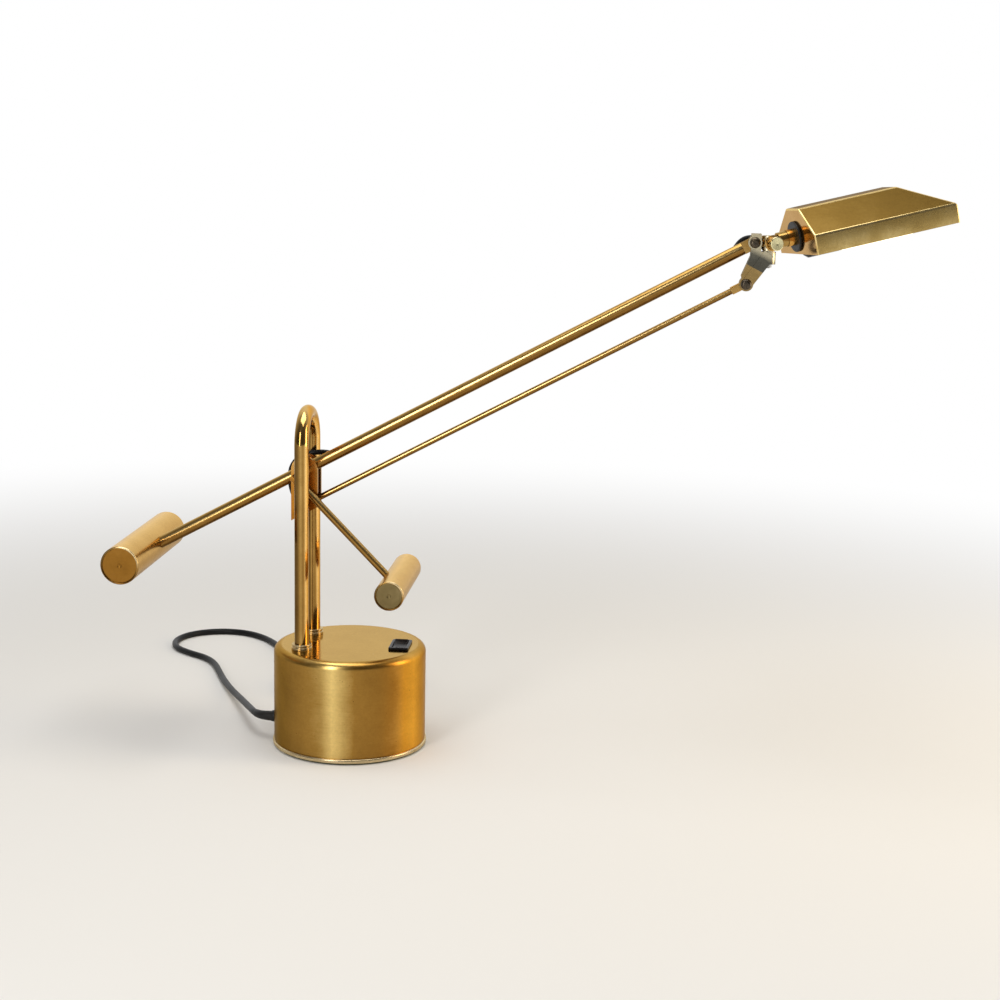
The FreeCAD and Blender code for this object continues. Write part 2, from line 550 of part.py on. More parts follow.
part(cut("bracket_cut", bracket,
         rod("bracket_bore_a", "sizes.rivet_r + sizes.running", "40", head_pivot - AWAY * 20, AWAY),
         rod("bracket_bore_b", "sizes.rivet_r + sizes.running", "40", bracket_foot - AWAY * 20, AWAY),
         rod("bracket_bore_c", "sizes.pan_pin_r + sizes.running", "40",
             Vector(swivel_at.x, 0, table_z - 20)),
         rod("bracket_lead_seat", "sizes.head_lead_r + sizes.running", "3",
             Vector(swivel_at.x - 3.0, cheek_out, table_z - V.block_high / 2), -AWAY)), "head_bracket")
screws, nuts = [], []
for k, at in enumerate([head_pivot, bracket_foot]):
    near = at - AWAY * (cheek_out + (V.bar_proud if k else 0))
    far = at + AWAY * cheek_out
    shank = rod("joint_shank_%d" % k, "sizes.rivet_r", "%f" % (far.y + 4.0 - near.y), near, AWAY)
    dome = turned("joint_head_%d" % k, [
        (0, 0), (V.screw_head_r, 0), (V.screw_head_r, 0.35 * V.screw_head_high),
        (0.72 * V.screw_head_r, 0.84 * V.screw_head_high, 0.3 * V.screw_head_r, V.screw_head_high),
        (0, V.screw_head_high)], near, -AWAY)
    slot = block("joint_slot_%d" % k, "3 * sizes.screw_head_r", "0.9", "4",
                 framed(near - AWAY * (V.screw_head_high - 0.9) - EAST * 1.5 * V.screw_head_r - UP * 0.45,
                        EAST, UP))
    slot.Placement = Placement(near - AWAY * (V.screw_head_high - 0.9), Rotation(AWAY, 35 + 50 * k)).multiply(
        framed(Vector(-1.5 * V.screw_head_r, 0, -0.45), EAST, UP))
    screws.append(cut("joint_screw_%d" % k, join("joint_blank_%d" % k, shank, dome), slot))
    nuts.append(padded("joint_nut_%d" % k, hexagon(V.screw_head_r), "2.8",
                       framed(far + AWAY * 2.8, EAST, UP), [(0, 0, "sizes.rivet_r + sizes.running")]))
part(group("joint_bolt_set", *screws, *nuts), "joint_bolts")

# ---------------------------------------------------------------- swivel and clamp knob
pan, tilt = math.radians(V.head_pan), math.radians(V.head_tilt)
out_flat = Vector(math.cos(pan), math.sin(pan), 0)
near_side = Vector(math.sin(pan), -math.cos(pan), 0)
out = out_flat * math.cos(tilt) + UP * math.sin(tilt)
over = UP * math.cos(tilt) - out_flat * math.sin(tilt)
roll = math.radians(V.head_roll)
shade_side = near_side * math.cos(roll) + over * math.sin(roll)
shade_over = over * math.cos(roll) - near_side * math.sin(roll)
knuckle_z = table_z + 2 * V.gap
knuckle = keep("knuckle_round", rod("knuckle_post", "sizes.knuckle_r", "%f" % (swivel_at.z + V.knuckle_top - knuckle_z),
                                    Vector(swivel_at.x, 0, knuckle_z)),
               rod("knuckle_crown", "1.28 * sizes.knuckle_top", "40", swivel_at - near_side * 20, near_side))
pin_drop = V.block_high + 3.2
pan_pin = rod("pan_pin", "sizes.pan_pin_r", "%f" % (pin_drop + 2 * V.gap),
              Vector(swivel_at.x, 0, knuckle_z - pin_drop - 2 * V.gap))
slot = block("knuckle_slot", "30", "2 * sizes.slot_half", "20",
             framed(Vector(swivel_at.x, 0, knuckle_z + 1.2) - out_flat * 15 + near_side * V.slot_half,
                    out_flat, near_side * -1))
part(cut("knuckle_cut", join("knuckle_blank", knuckle, pan_pin), slot,
         rod("clamp_bore", "sizes.clamp_r + sizes.running", "40", swivel_at - near_side * 20, near_side)),
     "swivel_knuckle")
nut_top = table_z - V.block_high - V.gap
fasteners = [
    padded("pan_nut", hexagon(1.9 * V.pan_pin_r), "2.6",
           Placement(Vector(swivel_at.x, 0, nut_top - 2.6), Rotation()),
           [(0, 0, "sizes.pan_pin_r + sizes.running")]),
    rod("clamp_screw", "sizes.clamp_r", "sizes.knob_end + 3", swivel_at - near_side * 5.2, near_side),
    cut("clamp_washer", rod("clamp_washer_body", "4.6", "1", swivel_at + near_side * (V.knuckle_r + V.gap / 2),
                            near_side),
        rod("clamp_washer_bore", "sizes.clamp_r + sizes.running", "1",
            swivel_at + near_side * (V.knuckle_r + V.gap / 2), near_side))]
part(group("swivel_fastener_set", *fasteners), "swivel_fasteners")
k0, k1 = V.knob_start, V.knob_end
bore_r = V.clamp_r + V.running
part(turned("knob_turned", [
    (bore_r, k0), (V.knob_ring_r - 0.5, k0), (V.knob_ring_r, k0 + 0.5), (V.knob_ring_r, k0 + 1.1),
    (V.knob_barrel_r, k0 + 1.6), (V.knob_barrel_r, k1 - 4.2), (V.knob_barrel_r - 0.6, k1 - 3.9),
    (V.knob_barrel_r - 0.6, k1 - 3.2), (V.knob_head_r, k1 - 2.9), (V.knob_head_r, k1 - 0.6),
    (V.knob_head_r - 0.6, k1), (0, k1 - 0.3), (0, k1 - 1.6), (bore_r, k1 - 1.6)],
    swivel_at, near_side), "clamp_knob")

# ---------------------------------------------------------------- stem and shade
panel_at = swivel_at + out * V.stem_len


def in_head(along, toward=0.0, up=0.0):
    """Point in the head's own frame: along the stem, towards the viewer, and over it."""
    return panel_at + out * along + shade_side * toward + shade_over * up


stem = join("stem",
            rod("stem_eye", "5.4", "2 * sizes.tongue_half", swivel_at - near_side * V.tongue_half, near_side),
            block("stem_tongue", "sizes.stem_neck + 2", "10", "2 * sizes.tongue_half",
                  framed(panel_at - out * V.stem_len + near_side * V.tongue_half + over * 5.0, out, over * -1)),
            rod("stem_body", "sizes.stem_r", "sizes.stem_len - sizes.stem_neck - sizes.washer_thick",
                in_head(-V.stem_len + V.stem_neck), out),
            rod("stem_step", "sizes.stem_r + 0.45", "6.6", in_head(-V.washer_thick - 6.6), out),
            rod("stem_spigot", "sizes.spigot_r", "sizes.washer_thick + sizes.shade_thick + sizes.stem_nut_thick + 4",
                in_head(-V.washer_thick), out))
part(cut("stem_cut", stem, rod("stem_bore", "sizes.stem_bore", "40", in_head(-11.0), out),
         rod("stem_eye_bore", "sizes.clamp_r + sizes.running", "20", swivel_at - near_side * 10, near_side)),
     "head_stem")


def ring(name, outer, inner, length, at, along):
    return cut(name, rod(name + "_body", outer, length, at, along), rod(name + "_hole", inner, length, at, along))


part(ring("panel_washer", "sizes.washer_r", "sizes.spigot_r + sizes.running", "sizes.washer_thick",
          in_head(-V.washer_thick), out), "panel_washer")
part(padded("stem_nut_body", hexagon(V.stem_nut_r), "sizes.stem_nut_thick",
            framed(in_head(V.shade_thick), shade_side * -1, shade_over),
            [(0, 0, "sizes.spigot_r + sizes.running")]), "stem_nut")


def hood(inset):
    """Closed hipped form: flat ridge, two long slopes, a hip at the far end and upright lips."""
    roof_run = V.shade_half - V.ridge_half
    rise = V.ridge_up - V.eave_up
    hip_run = V.shade_len - V.ridge_len
    side_slant = math.hypot(roof_run, rise)
    hip_slant = math.hypot(hip_run, rise)
    half = V.shade_half - inset
    far = V.shade_len - inset
    top = V.ridge_up - inset
    # each slope moves inwards by the inset, measured square to it
    eave = V.eave_up + inset * (rise - side_slant) / roof_run
    ridge = half - (top - eave) * roof_run / rise
    hip_eave = V.eave_up + inset * (rise - hip_slant) / hip_run
    hip_top = far - (top - hip_eave) * hip_run / rise
    near = inset
    low = -V.lip_down - (1.0 if inset else 0.0)
    return near, far, half, ridge, top, eave, hip_eave, hip_top, low


def hood_solid(inset):
    near, far, half, ridge, top, eave, hip_eave, hip_top, low = hood(inset)
    section = Part.Face(Part.makePolygon([in_head(near, x, z) for x, z in (
        (-half, low), (half, low), (half, eave), (ridge, top), (-ridge, top), (-half, eave), (-half, low))]))
    bar_form = section.extrude(out * (far - near))
    hip = Part.Face(Part.makePolygon([in_head(x, -60, z) for x, z in (
        (near - 5, low - 5), (far, low - 5), (far, hip_eave), (hip_top, top), (hip_top - 0.001, top + 5),
        (near - 5, top + 5), (near - 5, low - 5))])).extrude(shade_side * 120)
    return bar_form.common(hip)


outer = hood_solid(0.0)
creases = [e for e in outer.Edges if min(v.Point.sub(panel_at).dot(shade_over) for v in e.Vertexes) > -V.lip_down + 1
           or abs(e.Vertexes[0].Point.sub(e.Vertexes[1].Point).normalize().dot(shade_over)) > 0.99]
outer = outer.makeFillet(V.fold_r, creases)
shade_shape = outer.cut(hood_solid(V.shade_thick)).removeSplitter()
panel_hole = Part.makeCylinder(V.spigot_r + V.running, 4 * V.shade_thick, in_head(-V.shade_thick), out)
part(made("shade_sheet", shade_shape.cut(panel_hole)), "shade")

# ---------------------------------------------------------------- lampholder and lamp
holder_from = V.shade_thick + V.stem_nut_thick + V.gap
holder = rod("holder_body", "sizes.holder_r", "sizes.holder_len", in_head(holder_from, 0, -V.lamp_drop), out)
part(cut("holder_cut", holder,
         rod("holder_bore", "sizes.holder_bore", "60", in_head(holder_from + 6, 0, -V.lamp_drop), out),
         rod("holder_spigot", "sizes.spigot_r + sizes.running", "30", in_head(-10), out)), "lampholder")
part(group("holder_insides", ring("holder_liner", "sizes.holder_bore - 0.05", "sizes.lamp_cap_r + 0.1",
                                  "sizes.holder_len - 8.5", in_head(holder_from + 8.5, 0, -V.lamp_drop), out),
           rod("contact", "3", "1.4", in_head(holder_from + 6.05, 0, -V.lamp_drop), out)), "lampholder_liner")
cap_from = holder_from + 7.6
part(rod("lamp_cap_body", "sizes.lamp_cap_r", "%f" % (V.lamp_from - cap_from - V.gap),
         in_head(cap_from, 0, -V.lamp_drop), out), "lamp_cap")
g0, g1, gr, dome = V.lamp_from, V.lamp_to, V.lamp_r, 5.0
part(turned("lamp_glass_body", [
    (0, g0), (V.lamp_cap_r, g0), (gr - 0.3 * dome, g0 + 0.3 * dome, gr, g0 + dome), (gr, g1 - dome),
    (gr - 0.3 * dome, g1 - 0.3 * dome, gr - dome, g1), (0, g1)],
    in_head(0, 0, -V.lamp_drop), out), "lamp_bulb")

# ---------------------------------------------------------------- rocker switch
sx, sy, top = V.switch_x, V.switch_y, V.base_top_z


def centred(name, long_x, long_y, long_z, x, y, z, width_x, width_y):
    return block(name, long_x, long_y, long_z, Placement(Vector(x - width_x / 2, y - width_y / 2, z), Rotation()))


bezel = join("switch_blank", centred("bezel", "sizes.bezel_x", "sizes.bezel_y", "sizes.bezel_high", sx, sy, top,
                                     V.bezel_x, V.bezel_y),
             centred("switch_box", "sizes.bezel_x - 3.2", "sizes.bezel_y - 4.2", "sizes.switch_deep", sx, sy,
                     top - V.switch_deep, V.bezel_x - 3.2, V.bezel_y - 4.2))
well = centred("switch_well", "sizes.rocker_x + 0.6", "sizes.rocker_y + 2 * sizes.rocker_room", "sizes.bezel_high + 12",
               sx, sy, top - 12, V.rocker_x + 0.6, V.rocker_y + 2 * V.rocker_room)
rocker_pivot = Vector(sx, sy, top - 3.0)
part(cut("switch_cut", bezel, well, rod("switch_pin_bore", "1.05", "sizes.rocker_x + 1.6",
                                        rocker_pivot - EAST * (V.rocker_x / 2 + 0.8), EAST)), "switch_housing")
face = V.bezel_high + 3.0
half = V.rocker_y / 2
rise = half * math.tan(math.radians(V.rocker_tilt))
rocker_frame = framed(rocker_pivot - EAST * V.rocker_x / 2, AWAY, UP)
rocker = join("rocker_blank",
              padded("rocker_body", [(-half, face + 0.6 - rise), (-half + 1.2, -0.5 - rise), (0, -4.2),
                                     (half - 1.2, -0.5 + rise), (half, face + 0.6 + rise),
                                     (0, face - 0.5, -half, face + 0.6 - rise)], "sizes.rocker_x", rocker_frame),
              rod("rocker_pin", "1", "sizes.rocker_x + 1.4", rocker_pivot - EAST * (V.rocker_x / 2 + 0.7), EAST))
rocker_sweep = rod("rocker_sweep", "sizes.rocker_y / 2 + sizes.rocker_room - 0.15", "sizes.rocker_x + 4",
                   rocker_pivot - EAST * (V.rocker_x / 2 + 2), EAST)
part(keep("rocker_swept", rocker, rocker_sweep), "switch_rocker")

# ---------------------------------------------------------------- gland, clamp and terminal block
wall_out = -V.base_r
part(turned("gland_turned", [
    (V.cord_r + 0.02, -10), (V.gland_r - 1.0, -10), (V.gland_r - 1.0, 0.15), (V.gland_r, 0.15), (V.gland_r, 2.4),
    (V.gland_r - 0.5, 3.0), (V.cord_r + 0.9, V.gland_out), (V.cord_r + 0.02, V.gland_out)],
    Vector(wall_out, 0, V.exit_z), -EAST), "cord_gland")

saddle_x = wall_out + 20
saddle_z = ballast_z + V.ballast_thick
saddle = cut("clamp_cut", centred("clamp_block", "8", "22", "%f" % (V.exit_z + V.cord_r + 2 - saddle_z), saddle_x, 0,
                              saddle_z, 8, 22),
         rod("clamp_cord", "sizes.cord_r + 0.05", "20", Vector(saddle_x - 10, 0, V.exit_z), EAST),
         *[rod("clamp_screw_hole_%d" % k, "1.55", "20", Vector(saddle_x, y, saddle_z))
           for k, y in enumerate((-7.5, 7.5))])
base_screws += [rod("saddle_screw_%d" % k, "1.5", "%f" % (V.exit_z + V.cord_r + 4 - saddle_z),
                    Vector(saddle_x, y, saddle_z)) for k, y in enumerate((-7.5, 7.5))]
part(group("base_screw_set", *base_screws), "base_screws")
terminal = cut("terminal_cut", centred("terminal_body", "16", "24", "12", 4, 0, saddle_z, 16, 24),
         *[rod("terminal_hole_%d" % k, "1.9", "20", Vector(-6, y, saddle_z + 5), EAST)
           for k, y in enumerate((-7, 7))])
sheath = rod("cord_sheath", "sizes.cord_r", "%f" % (saddle_x + 10 - wall_out + V.gland_out),
             Vector(wall_out - V.gland_out, 0, V.exit_z), EAST)
part(group("base_fitting_set", saddle, terminal), "base_fittings")

r = V.inner_lead_r
from_clamp, tb = saddle_x + 10, saddle_z + 5
lead_a, _ = swept([(from_clamp, -1.4, V.exit_z), (from_clamp + 9, -1.4, V.exit_z), (-16, -7, tb + 0.4),
                   (-4, -7, tb)], 1.3)
lead_b, _ = swept([(from_clamp, 1.4, V.exit_z), (from_clamp + 9, 1.4, V.exit_z), (-16, 7, tb + 0.4),
                   (-4, 7, tb)], 1.3)
lead_c, _ = swept([(12, -7, tb), (19, -7, tb), (27, -7.6, tb + 6), (36, -8.6, tb + 18), (sx, sy - 6, top - V.switch_deep - 9),
                   (sx, sy - 6, top - V.switch_deep)], 1.3)
lead_d, _ = swept([(12, 7, tb), (18, 7, tb), (19, 14, tb + 8), (8, 26, tb + 22), (-16, 30, tb + 36), (-32, 27.4, 66),
                   (V.stand_x, V.leg_y, 79), (V.stand_x, V.leg_y, lead_z - 14),
                   ], r)
part(group("base_lead_set", sheath, made("lead_wires", Part.Compound([lead_a, lead_b, lead_c, lead_d]))),
     "base_leads")

# ---------------------------------------------------------------- leads round the pivots
leg_hole = Vector(V.stand_x - V.leg_r, V.leg_y, lead_z)
arm_hole = on_arm(lead_in, 0, V.arm_r)
loop_pts = [leg_hole + EAST * 2.0, leg_hole - EAST * 5.0, pivot + Vector(-15.3, 20.8, -29.5),
            pivot + Vector(-17.2, 15.4, -20), pivot + Vector(-17.6, 12.2, -9.5), pivot + Vector(-15.8, 12, 0),
            pivot + Vector(-9.5, 12, 7.3), pivot + Vector(-0.5, 12, 11), pivot + Vector(9.0, 12.2, 12.3),
            Vector(arm_hole.x - 1.6, 12.3, arm_hole.z + 1.2), Vector(arm_hole.x, 9.4, arm_hole.z),
            Vector(arm_hole.x, 3.6, arm_hole.z)]
stand_loop, _ = swept(loop_pts, V.stand_lead_r, "stand_lead")
part(made("stand_loop", stand_loop), "stand_lead")
lie_in = V.arm_lead_r + 3 * V.gap / 2 - V.arm_r + V.arm_wall
part(made("arm_wire", swept([on_arm(lead_in + 3.5, lie_in), on_arm(120, lie_in, -0.3), on_arm(240, lie_in, 0.3),
                             on_arm(lead_out - 3.5, lie_in)], V.arm_lead_r)[0]), "arm_lead")
top_hole = on_arm(lead_out, 0, V.arm_r)
lead_seat = Vector(swivel_at.x - 3.0, cheek_out, table_z - V.block_high / 2)
head_pts = [Vector(top_hole.x, 3.6, top_hole.z), Vector(top_hole.x, 9.8, top_hole.z),
            head_pivot + Vector(-15.4, 13.0, -5.6), head_pivot + Vector(-11.0, 13.6, 0.6),
            head_pivot + Vector(-4.0, 13.6, 3.6), head_pivot + Vector(4.4, 13.8, 3.8),
            head_pivot + Vector(12.4, 14.6, 1.0), head_pivot + Vector(17.6, 15.8, -5.0),
            head_pivot + Vector(18.2, 16.4, -12.6), head_pivot + Vector(13.0, 16.4, -18.2),
            Vector(lead_seat.x + 0.3, 16.0, lead_seat.z - 5.4), Vector(lead_seat.x - 0.4, 12.6, lead_seat.z - 2.2),
            Vector(lead_seat.x, 8.0, lead_seat.z), Vector(lead_seat.x, 3.4, lead_seat.z)]
head_loop, _ = swept(head_pts, V.head_lead_r, "head_lead")
part(made("head_loop", head_loop), "head_lead")


def grommet(name, wire_r, at, along):
    """Bush with a flange, set in a tube's wall."""
    outer_r = wire_r + V.grommet_wall
    return turned(name, [(wire_r + 0.04, -1.1), (outer_r, -1.1), (outer_r, 0.05), (outer_r + 0.8, 0.05),
                         (outer_r + 0.8, 0.7), (outer_r + 0.4, 1.1), (wire_r + 0.04, 1.1)], at, along)


part(grommet("leg_grommet_body", V.stand_lead_r, leg_hole, -EAST), "leg_grommet")
part(group("arm_grommet_set", grommet("arm_grommet_a", V.stand_lead_r, arm_hole, AWAY),
           grommet("arm_grommet_b", V.head_lead_r, top_hole, AWAY)), "arm_grommets")

# ---------------------------------------------------------------- mains cord, coil and plug
lie = V.cord_r + 0.05
route = [
    (-68, 0, 19.4), (-74, 0, 19.4), (-80.3, 3.1, 19.2), (-85.8, 9.6, 18.7), (-91, 20.4, 17.7), (-98.5, 38, 15.4),
    (-108.3, 62, 12.0), (-120.5, 90, 8.3), (-134, 120, 5.2), (-148, 152, 3.4), (-159.4, 180.6, lie),
    (-170.5, 208, lie), (-184.5, 226.5, lie), (-203.5, 239.4, lie), (-223, 257, lie), (-231, 284, lie),
    (-221, 311, lie), (-195, 327, lie), (-165, 325, lie), (-140, 306, lie), (-121, 278, lie), (-106, 247, lie),
    (-95, 215, lie), (-87.8, 184, lie), (-84.2, 156, lie)]
cord_solid, cord_len = swept(route, V.cord_r, "mains_cord")
part(made("cord_run", cord_solid), "mains_cord")
coil_at = Vector(-45, 150, 0)
coil = cut("coil_cut", rod("coil_outer", "sizes.coil_r + sizes.coil_band / 2", "sizes.coil_high", coil_at),
           rod("coil_inner", "sizes.coil_r - sizes.coil_band / 2", "sizes.coil_high", coil_at))
part(coil, "cord_coil")
high = 9.15
tail = [(-45, 110.8, high), (-24, 110.6, 8.4), (-6, 116, 7.2), (9, 128, 7.0), (18, 143, 7.0), (18, 160, 7.0)]
tail_solid, tail_len = swept(tail, V.cord_r, "cord_tail")
part(made("tail_run", tail_solid), "cord_tail")
plug_at = Vector(18, 160, 7.0)
plug = join("plug_blank",
            turned("plug_relief", [(V.cord_r + 0.05, 0), (V.cord_r + 1.0, 0), (5.2, 16), (V.cord_r + 0.05, 16)],
                   plug_at - AWAY * 10, AWAY),
            padded("plug_form", [(-8, 0), (8, 0), (12, 10), (17.6, 20), (17.6, 27), (-17.6, 27), (-17.6, 20),
                                 (-12, 10)], "13.7",
                   Placement(plug_at + Vector(0, 0, -6.9), Rotation())))
part(cut("plug_cut", plug, *[rod("pin_seat_%d" % k, "2 + sizes.running", "21", plug_at + Vector(x, 25.0, 0), AWAY)
                              for k, x in enumerate((-9.3, 9.3))]), "plug_body")
pins = [rod("pin_%d" % k, "2", "21", plug_at + Vector(x, 25.0, 0), AWAY) for k, x in enumerate((-9.3, 9.3))]
part(group("pin_set", *pins), "plug_pins")
print("cord %.0f + tail %.0f mm, coil takes %.0f mm of 1800" % (cord_len, tail_len, 1800 - cord_len - tail_len))

# ---------------------------------------------------------------- check and write
doc.recompute()
broken = [o.Name for o in doc.Objects if {"Invalid", "Error"} & set(o.State)]
for obj in nodes:
    if obj.Shape.isNull() or not obj.Shape.isValid() or not obj.Shape.Solids:
        broken.append(obj.Label)
if broken:
    raise SystemExit("failed: " + ", ".join(broken))
os.makedirs("parts", exist_ok=True)
for obj in nodes:
    obj.Shape.exportStep("parts/%s.step" % obj.Label)
print("%d nodes, %d solids" % (len(nodes), sum(len(o.Shape.Solids) for o in nodes)))
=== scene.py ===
# %% [markdown]
# # A balance desk lamp in aged brass
#
# The real lamp is a spun drum, an inverted-U stand, a long tube that balances a folded shade against a
# cylinder-shaped weight, and a thin rod that keeps the shade level. Its construction comes from a fixed
# frame, so every place here is read from that frame and only surfaces and finishes are made.

# %% The frame
import math
import bmesh
import bpy
import numpy as np
from mathutils import Matrix, Vector


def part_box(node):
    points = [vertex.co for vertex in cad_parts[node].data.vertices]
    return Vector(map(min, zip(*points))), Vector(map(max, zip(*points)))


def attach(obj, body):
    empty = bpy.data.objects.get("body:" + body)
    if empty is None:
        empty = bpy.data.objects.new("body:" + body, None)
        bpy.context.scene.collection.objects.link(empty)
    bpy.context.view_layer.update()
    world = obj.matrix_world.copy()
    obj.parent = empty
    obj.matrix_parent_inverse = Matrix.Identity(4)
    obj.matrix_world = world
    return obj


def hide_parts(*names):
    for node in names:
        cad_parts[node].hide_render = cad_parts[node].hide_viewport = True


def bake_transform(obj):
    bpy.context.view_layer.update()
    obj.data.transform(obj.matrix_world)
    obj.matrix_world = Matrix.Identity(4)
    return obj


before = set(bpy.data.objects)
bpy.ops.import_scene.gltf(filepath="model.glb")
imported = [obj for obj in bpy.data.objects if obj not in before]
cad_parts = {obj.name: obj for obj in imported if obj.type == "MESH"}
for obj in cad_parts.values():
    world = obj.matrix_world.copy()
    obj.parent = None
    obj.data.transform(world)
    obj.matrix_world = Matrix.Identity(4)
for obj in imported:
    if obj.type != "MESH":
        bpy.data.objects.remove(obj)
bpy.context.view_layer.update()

# %% [markdown]
# ## Camera
#
# The picture was taken from a little above the shade with a short telephoto lens. A camera is a point and
# three axes. They could be set by trial, but here they were solved from the drum's ellipses and the vertical
# legs, as a yaw, a pitch and a roll, and the three turns are multiplied out as vectors.

# %% Camera
def placed(name, data):
    """New object in the scene."""
    thing = bpy.data.objects.new(name, data)
    bpy.context.scene.collection.objects.link(thing)
    return thing


yaw, pitch, roll = np.radians([5.02, 11.0, -1.12])
viewpoint, focal_mm, sensor_mm = [0.2602, -1.51904, 0.5140], 66.6, 36.0
flat_right = np.array([math.cos(yaw), math.sin(yaw), 0.0])
flat_ahead = np.array([-math.sin(yaw), math.cos(yaw), 0.0])
upright = np.array([0.0, 0.0, 1.0])
ahead = flat_ahead * math.cos(pitch) - upright * math.sin(pitch)
level_above = flat_ahead * math.sin(pitch) + upright * math.cos(pitch)
right = flat_right * math.cos(roll) - level_above * math.sin(roll)
above = flat_right * math.sin(roll) + level_above * math.cos(roll)
turn = np.eye(4)
turn[:3, :3] = np.array([right, above, -ahead]).T
turn[:3, 3] = viewpoint
camera = placed("camera", bpy.data.cameras.new("camera"))
camera.data.lens, camera.data.sensor_width = focal_mm, sensor_mm
camera.matrix_world = Matrix(turn.tolist())
bpy.context.scene.camera = camera
print("camera looks along", np.round(ahead, 3))

# %% [markdown]
# ## Surfaces from arrays
#
# Nearly every piece of this lamp was turned on a lathe or drawn as a tube. Both are one idea: a ring of
# points whose radius changes along a line. Blender could make them with Screw or Curve tools, but a grid of
# points worked out at once gives exact sizes, even normals and a map for brushed marks.

# %% A grid of points becomes a mesh
same_point = 2e-6


def quads(index, closed=True):
    """Corner numbers of the faces between neighbouring rows and columns of a grid of point numbers."""
    after = np.roll(index, -1, axis=1)
    here, there = (index, after) if closed else (index[:, :-1], index[:, 1:])
    return np.stack([here[:-1], there[:-1], there[1:], here[1:]], axis=-1).reshape(-1, 4)


def surface(name, grids, material, body, stands_for=(), marks=None, closed=True, bands=()):
    """Mesh from one grid of points, or from several that make one piece.

    Rows run along the piece and columns go round it. Corner (i, j) is joined to (i, j+1), (i+1, j+1) and
    (i+1, j), then points that coincide are merged, which closes poles and seams. The map holds the share of
    the way round and the length along, in metres. marks holds tone and warmth for each point, from 0 to 1,
    which the finishes read. bands are (first row, last row, material) for rows with another finish.
    """
    grids = grids if isinstance(grids, list) else [grids]
    points, faces, maps, tones, finish, offset = [], [], [], [], [], 0
    tone, warm = marks if marks is not None else (0.5, 0.0)
    for grid in grids:
        rows, cols = grid.shape[:2]
        steps = cols if closed else cols - 1
        faces.append(quads(offset + np.arange(rows * cols).reshape(rows, cols), closed))
        along = np.append(0.0, np.cumsum(np.linalg.norm(np.diff(grid, axis=0), axis=2).max(axis=1)))
        uv = np.empty((rows - 1, steps, 4, 2), np.float32)
        uv[..., (0, 3), 0] = (np.arange(steps) / steps)[:, None]
        uv[..., (1, 2), 0] = ((np.arange(steps) + 1) / steps)[:, None]
        uv[..., (0, 1), 1] = along[:-1, None, None]
        uv[..., (2, 3), 1] = along[1:, None, None]
        maps.append(uv.reshape(-1))
        which = np.zeros(rows - 1, int)
        for place, (first, last, _) in enumerate(bands):
            which[first:last] = place + 1
        finish.append(np.repeat(which, steps))
        tones.append(np.stack([np.broadcast_to(tone, (rows, cols)), np.broadcast_to(warm, (rows, cols))], -1))
        points.append(grid.reshape(-1, 3))
        offset += rows * cols
    mesh = bpy.data.meshes.new(name)
    mesh.from_pydata(np.concatenate(points).tolist(), [], np.concatenate(faces).tolist())
    mesh.uv_layers.new(name="UVMap").data.foreach_set("uv", np.concatenate(maps))
    both = np.clip(np.concatenate([t.reshape(-1, 2) for t in tones]), 0, 1).astype(np.float32)
    for place, word in enumerate(("tone", "warmth")):
        mesh.attributes.new(word, "FLOAT", "POINT").data.foreach_set("value", np.ascontiguousarray(both[:, place]))
    mesh.polygons.foreach_set("material_index", np.concatenate(finish).astype(np.int32))
    for each in [material] + [band[2] for band in bands]:
        mesh.materials.append(each)
    merged = bmesh.new()
    merged.from_mesh(mesh)
    bmesh.ops.remove_doubles(merged, verts=merged.verts, dist=same_point)
    merged.to_mesh(mesh)
    merged.free()
    mesh.shade_smooth()
    piece = placed(name, mesh)
    if stands_for:
        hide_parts(*stands_for)
    if body:
        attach(piece, body)
    return piece


def unit(vector):
    """A vector of the same direction and length one."""
    vector = np.asarray(vector, float)
    return vector / np.linalg.norm(vector)


def side_axes(along):
    """Two directions square to a line: the first as level as it can be."""
    along = unit(along)
    level = np.cross(along, [0, 0, 1.0])
    level = unit(level) if np.linalg.norm(level) > 1e-6 else np.array([1.0, 0, 0])
    return level, np.cross(along, level)


def around(count):
    """Cosine and sine of evenly spaced angles, one row for each."""
    angle = np.arange(count) * 2 * math.pi / count
    return np.stack([np.cos(angle), np.sin(angle)], -1)


# %% [markdown]
# A sharp corner looks wrong on metal, because every real edge is broken a little and catches the light. So a
# turned piece is drawn as a few corners, and each corner is rounded before it is spun.

# %% Rounded outlines and turned pieces
def rounded(points, radii, steps=6):
    """Outline through the given corners, each replaced by an arc that touches both its sides.

    The arc starts radius / tan(half the corner's angle) from the corner, and its points are spaced evenly
    in angle. Two points close beside each arc, at beside times that distance, keep the flats flat.
    """
    beside = 1.25
    points = [np.asarray(p, float) for p in points]
    out = [points[0]]
    for a, b, c, r in zip(points, points[1:], points[2:], radii):
        u, v = unit(a - b), unit(c - b)
        half = math.acos(np.clip(u @ v, -1, 1)) / 2
        if r <= 0 or half > math.pi / 2 - 1e-3:
            out.append(b)
            continue
        reach = min(r / math.tan(half), 0.48 * np.linalg.norm(a - b), 0.48 * np.linalg.norm(c - b))
        r = reach * math.tan(half)
        middle = b + unit(u + v) * (r / math.sin(half))
        start, end = b + u * reach - middle, b + v * reach - middle
        t = np.linspace(0, 1, steps)[:, None]
        sweep = math.pi - 2 * half
        arc = (np.sin((1 - t) * sweep) * start + np.sin(t * sweep) * end) / math.sin(sweep)
        out.append(b + u * min(reach * beside, 0.49 * np.linalg.norm(a - b)))
        out += list(middle + arc)
        out.append(b + v * min(reach * beside, 0.49 * np.linalg.norm(c - b)))
    out.append(points[-1])
    return np.array(out)


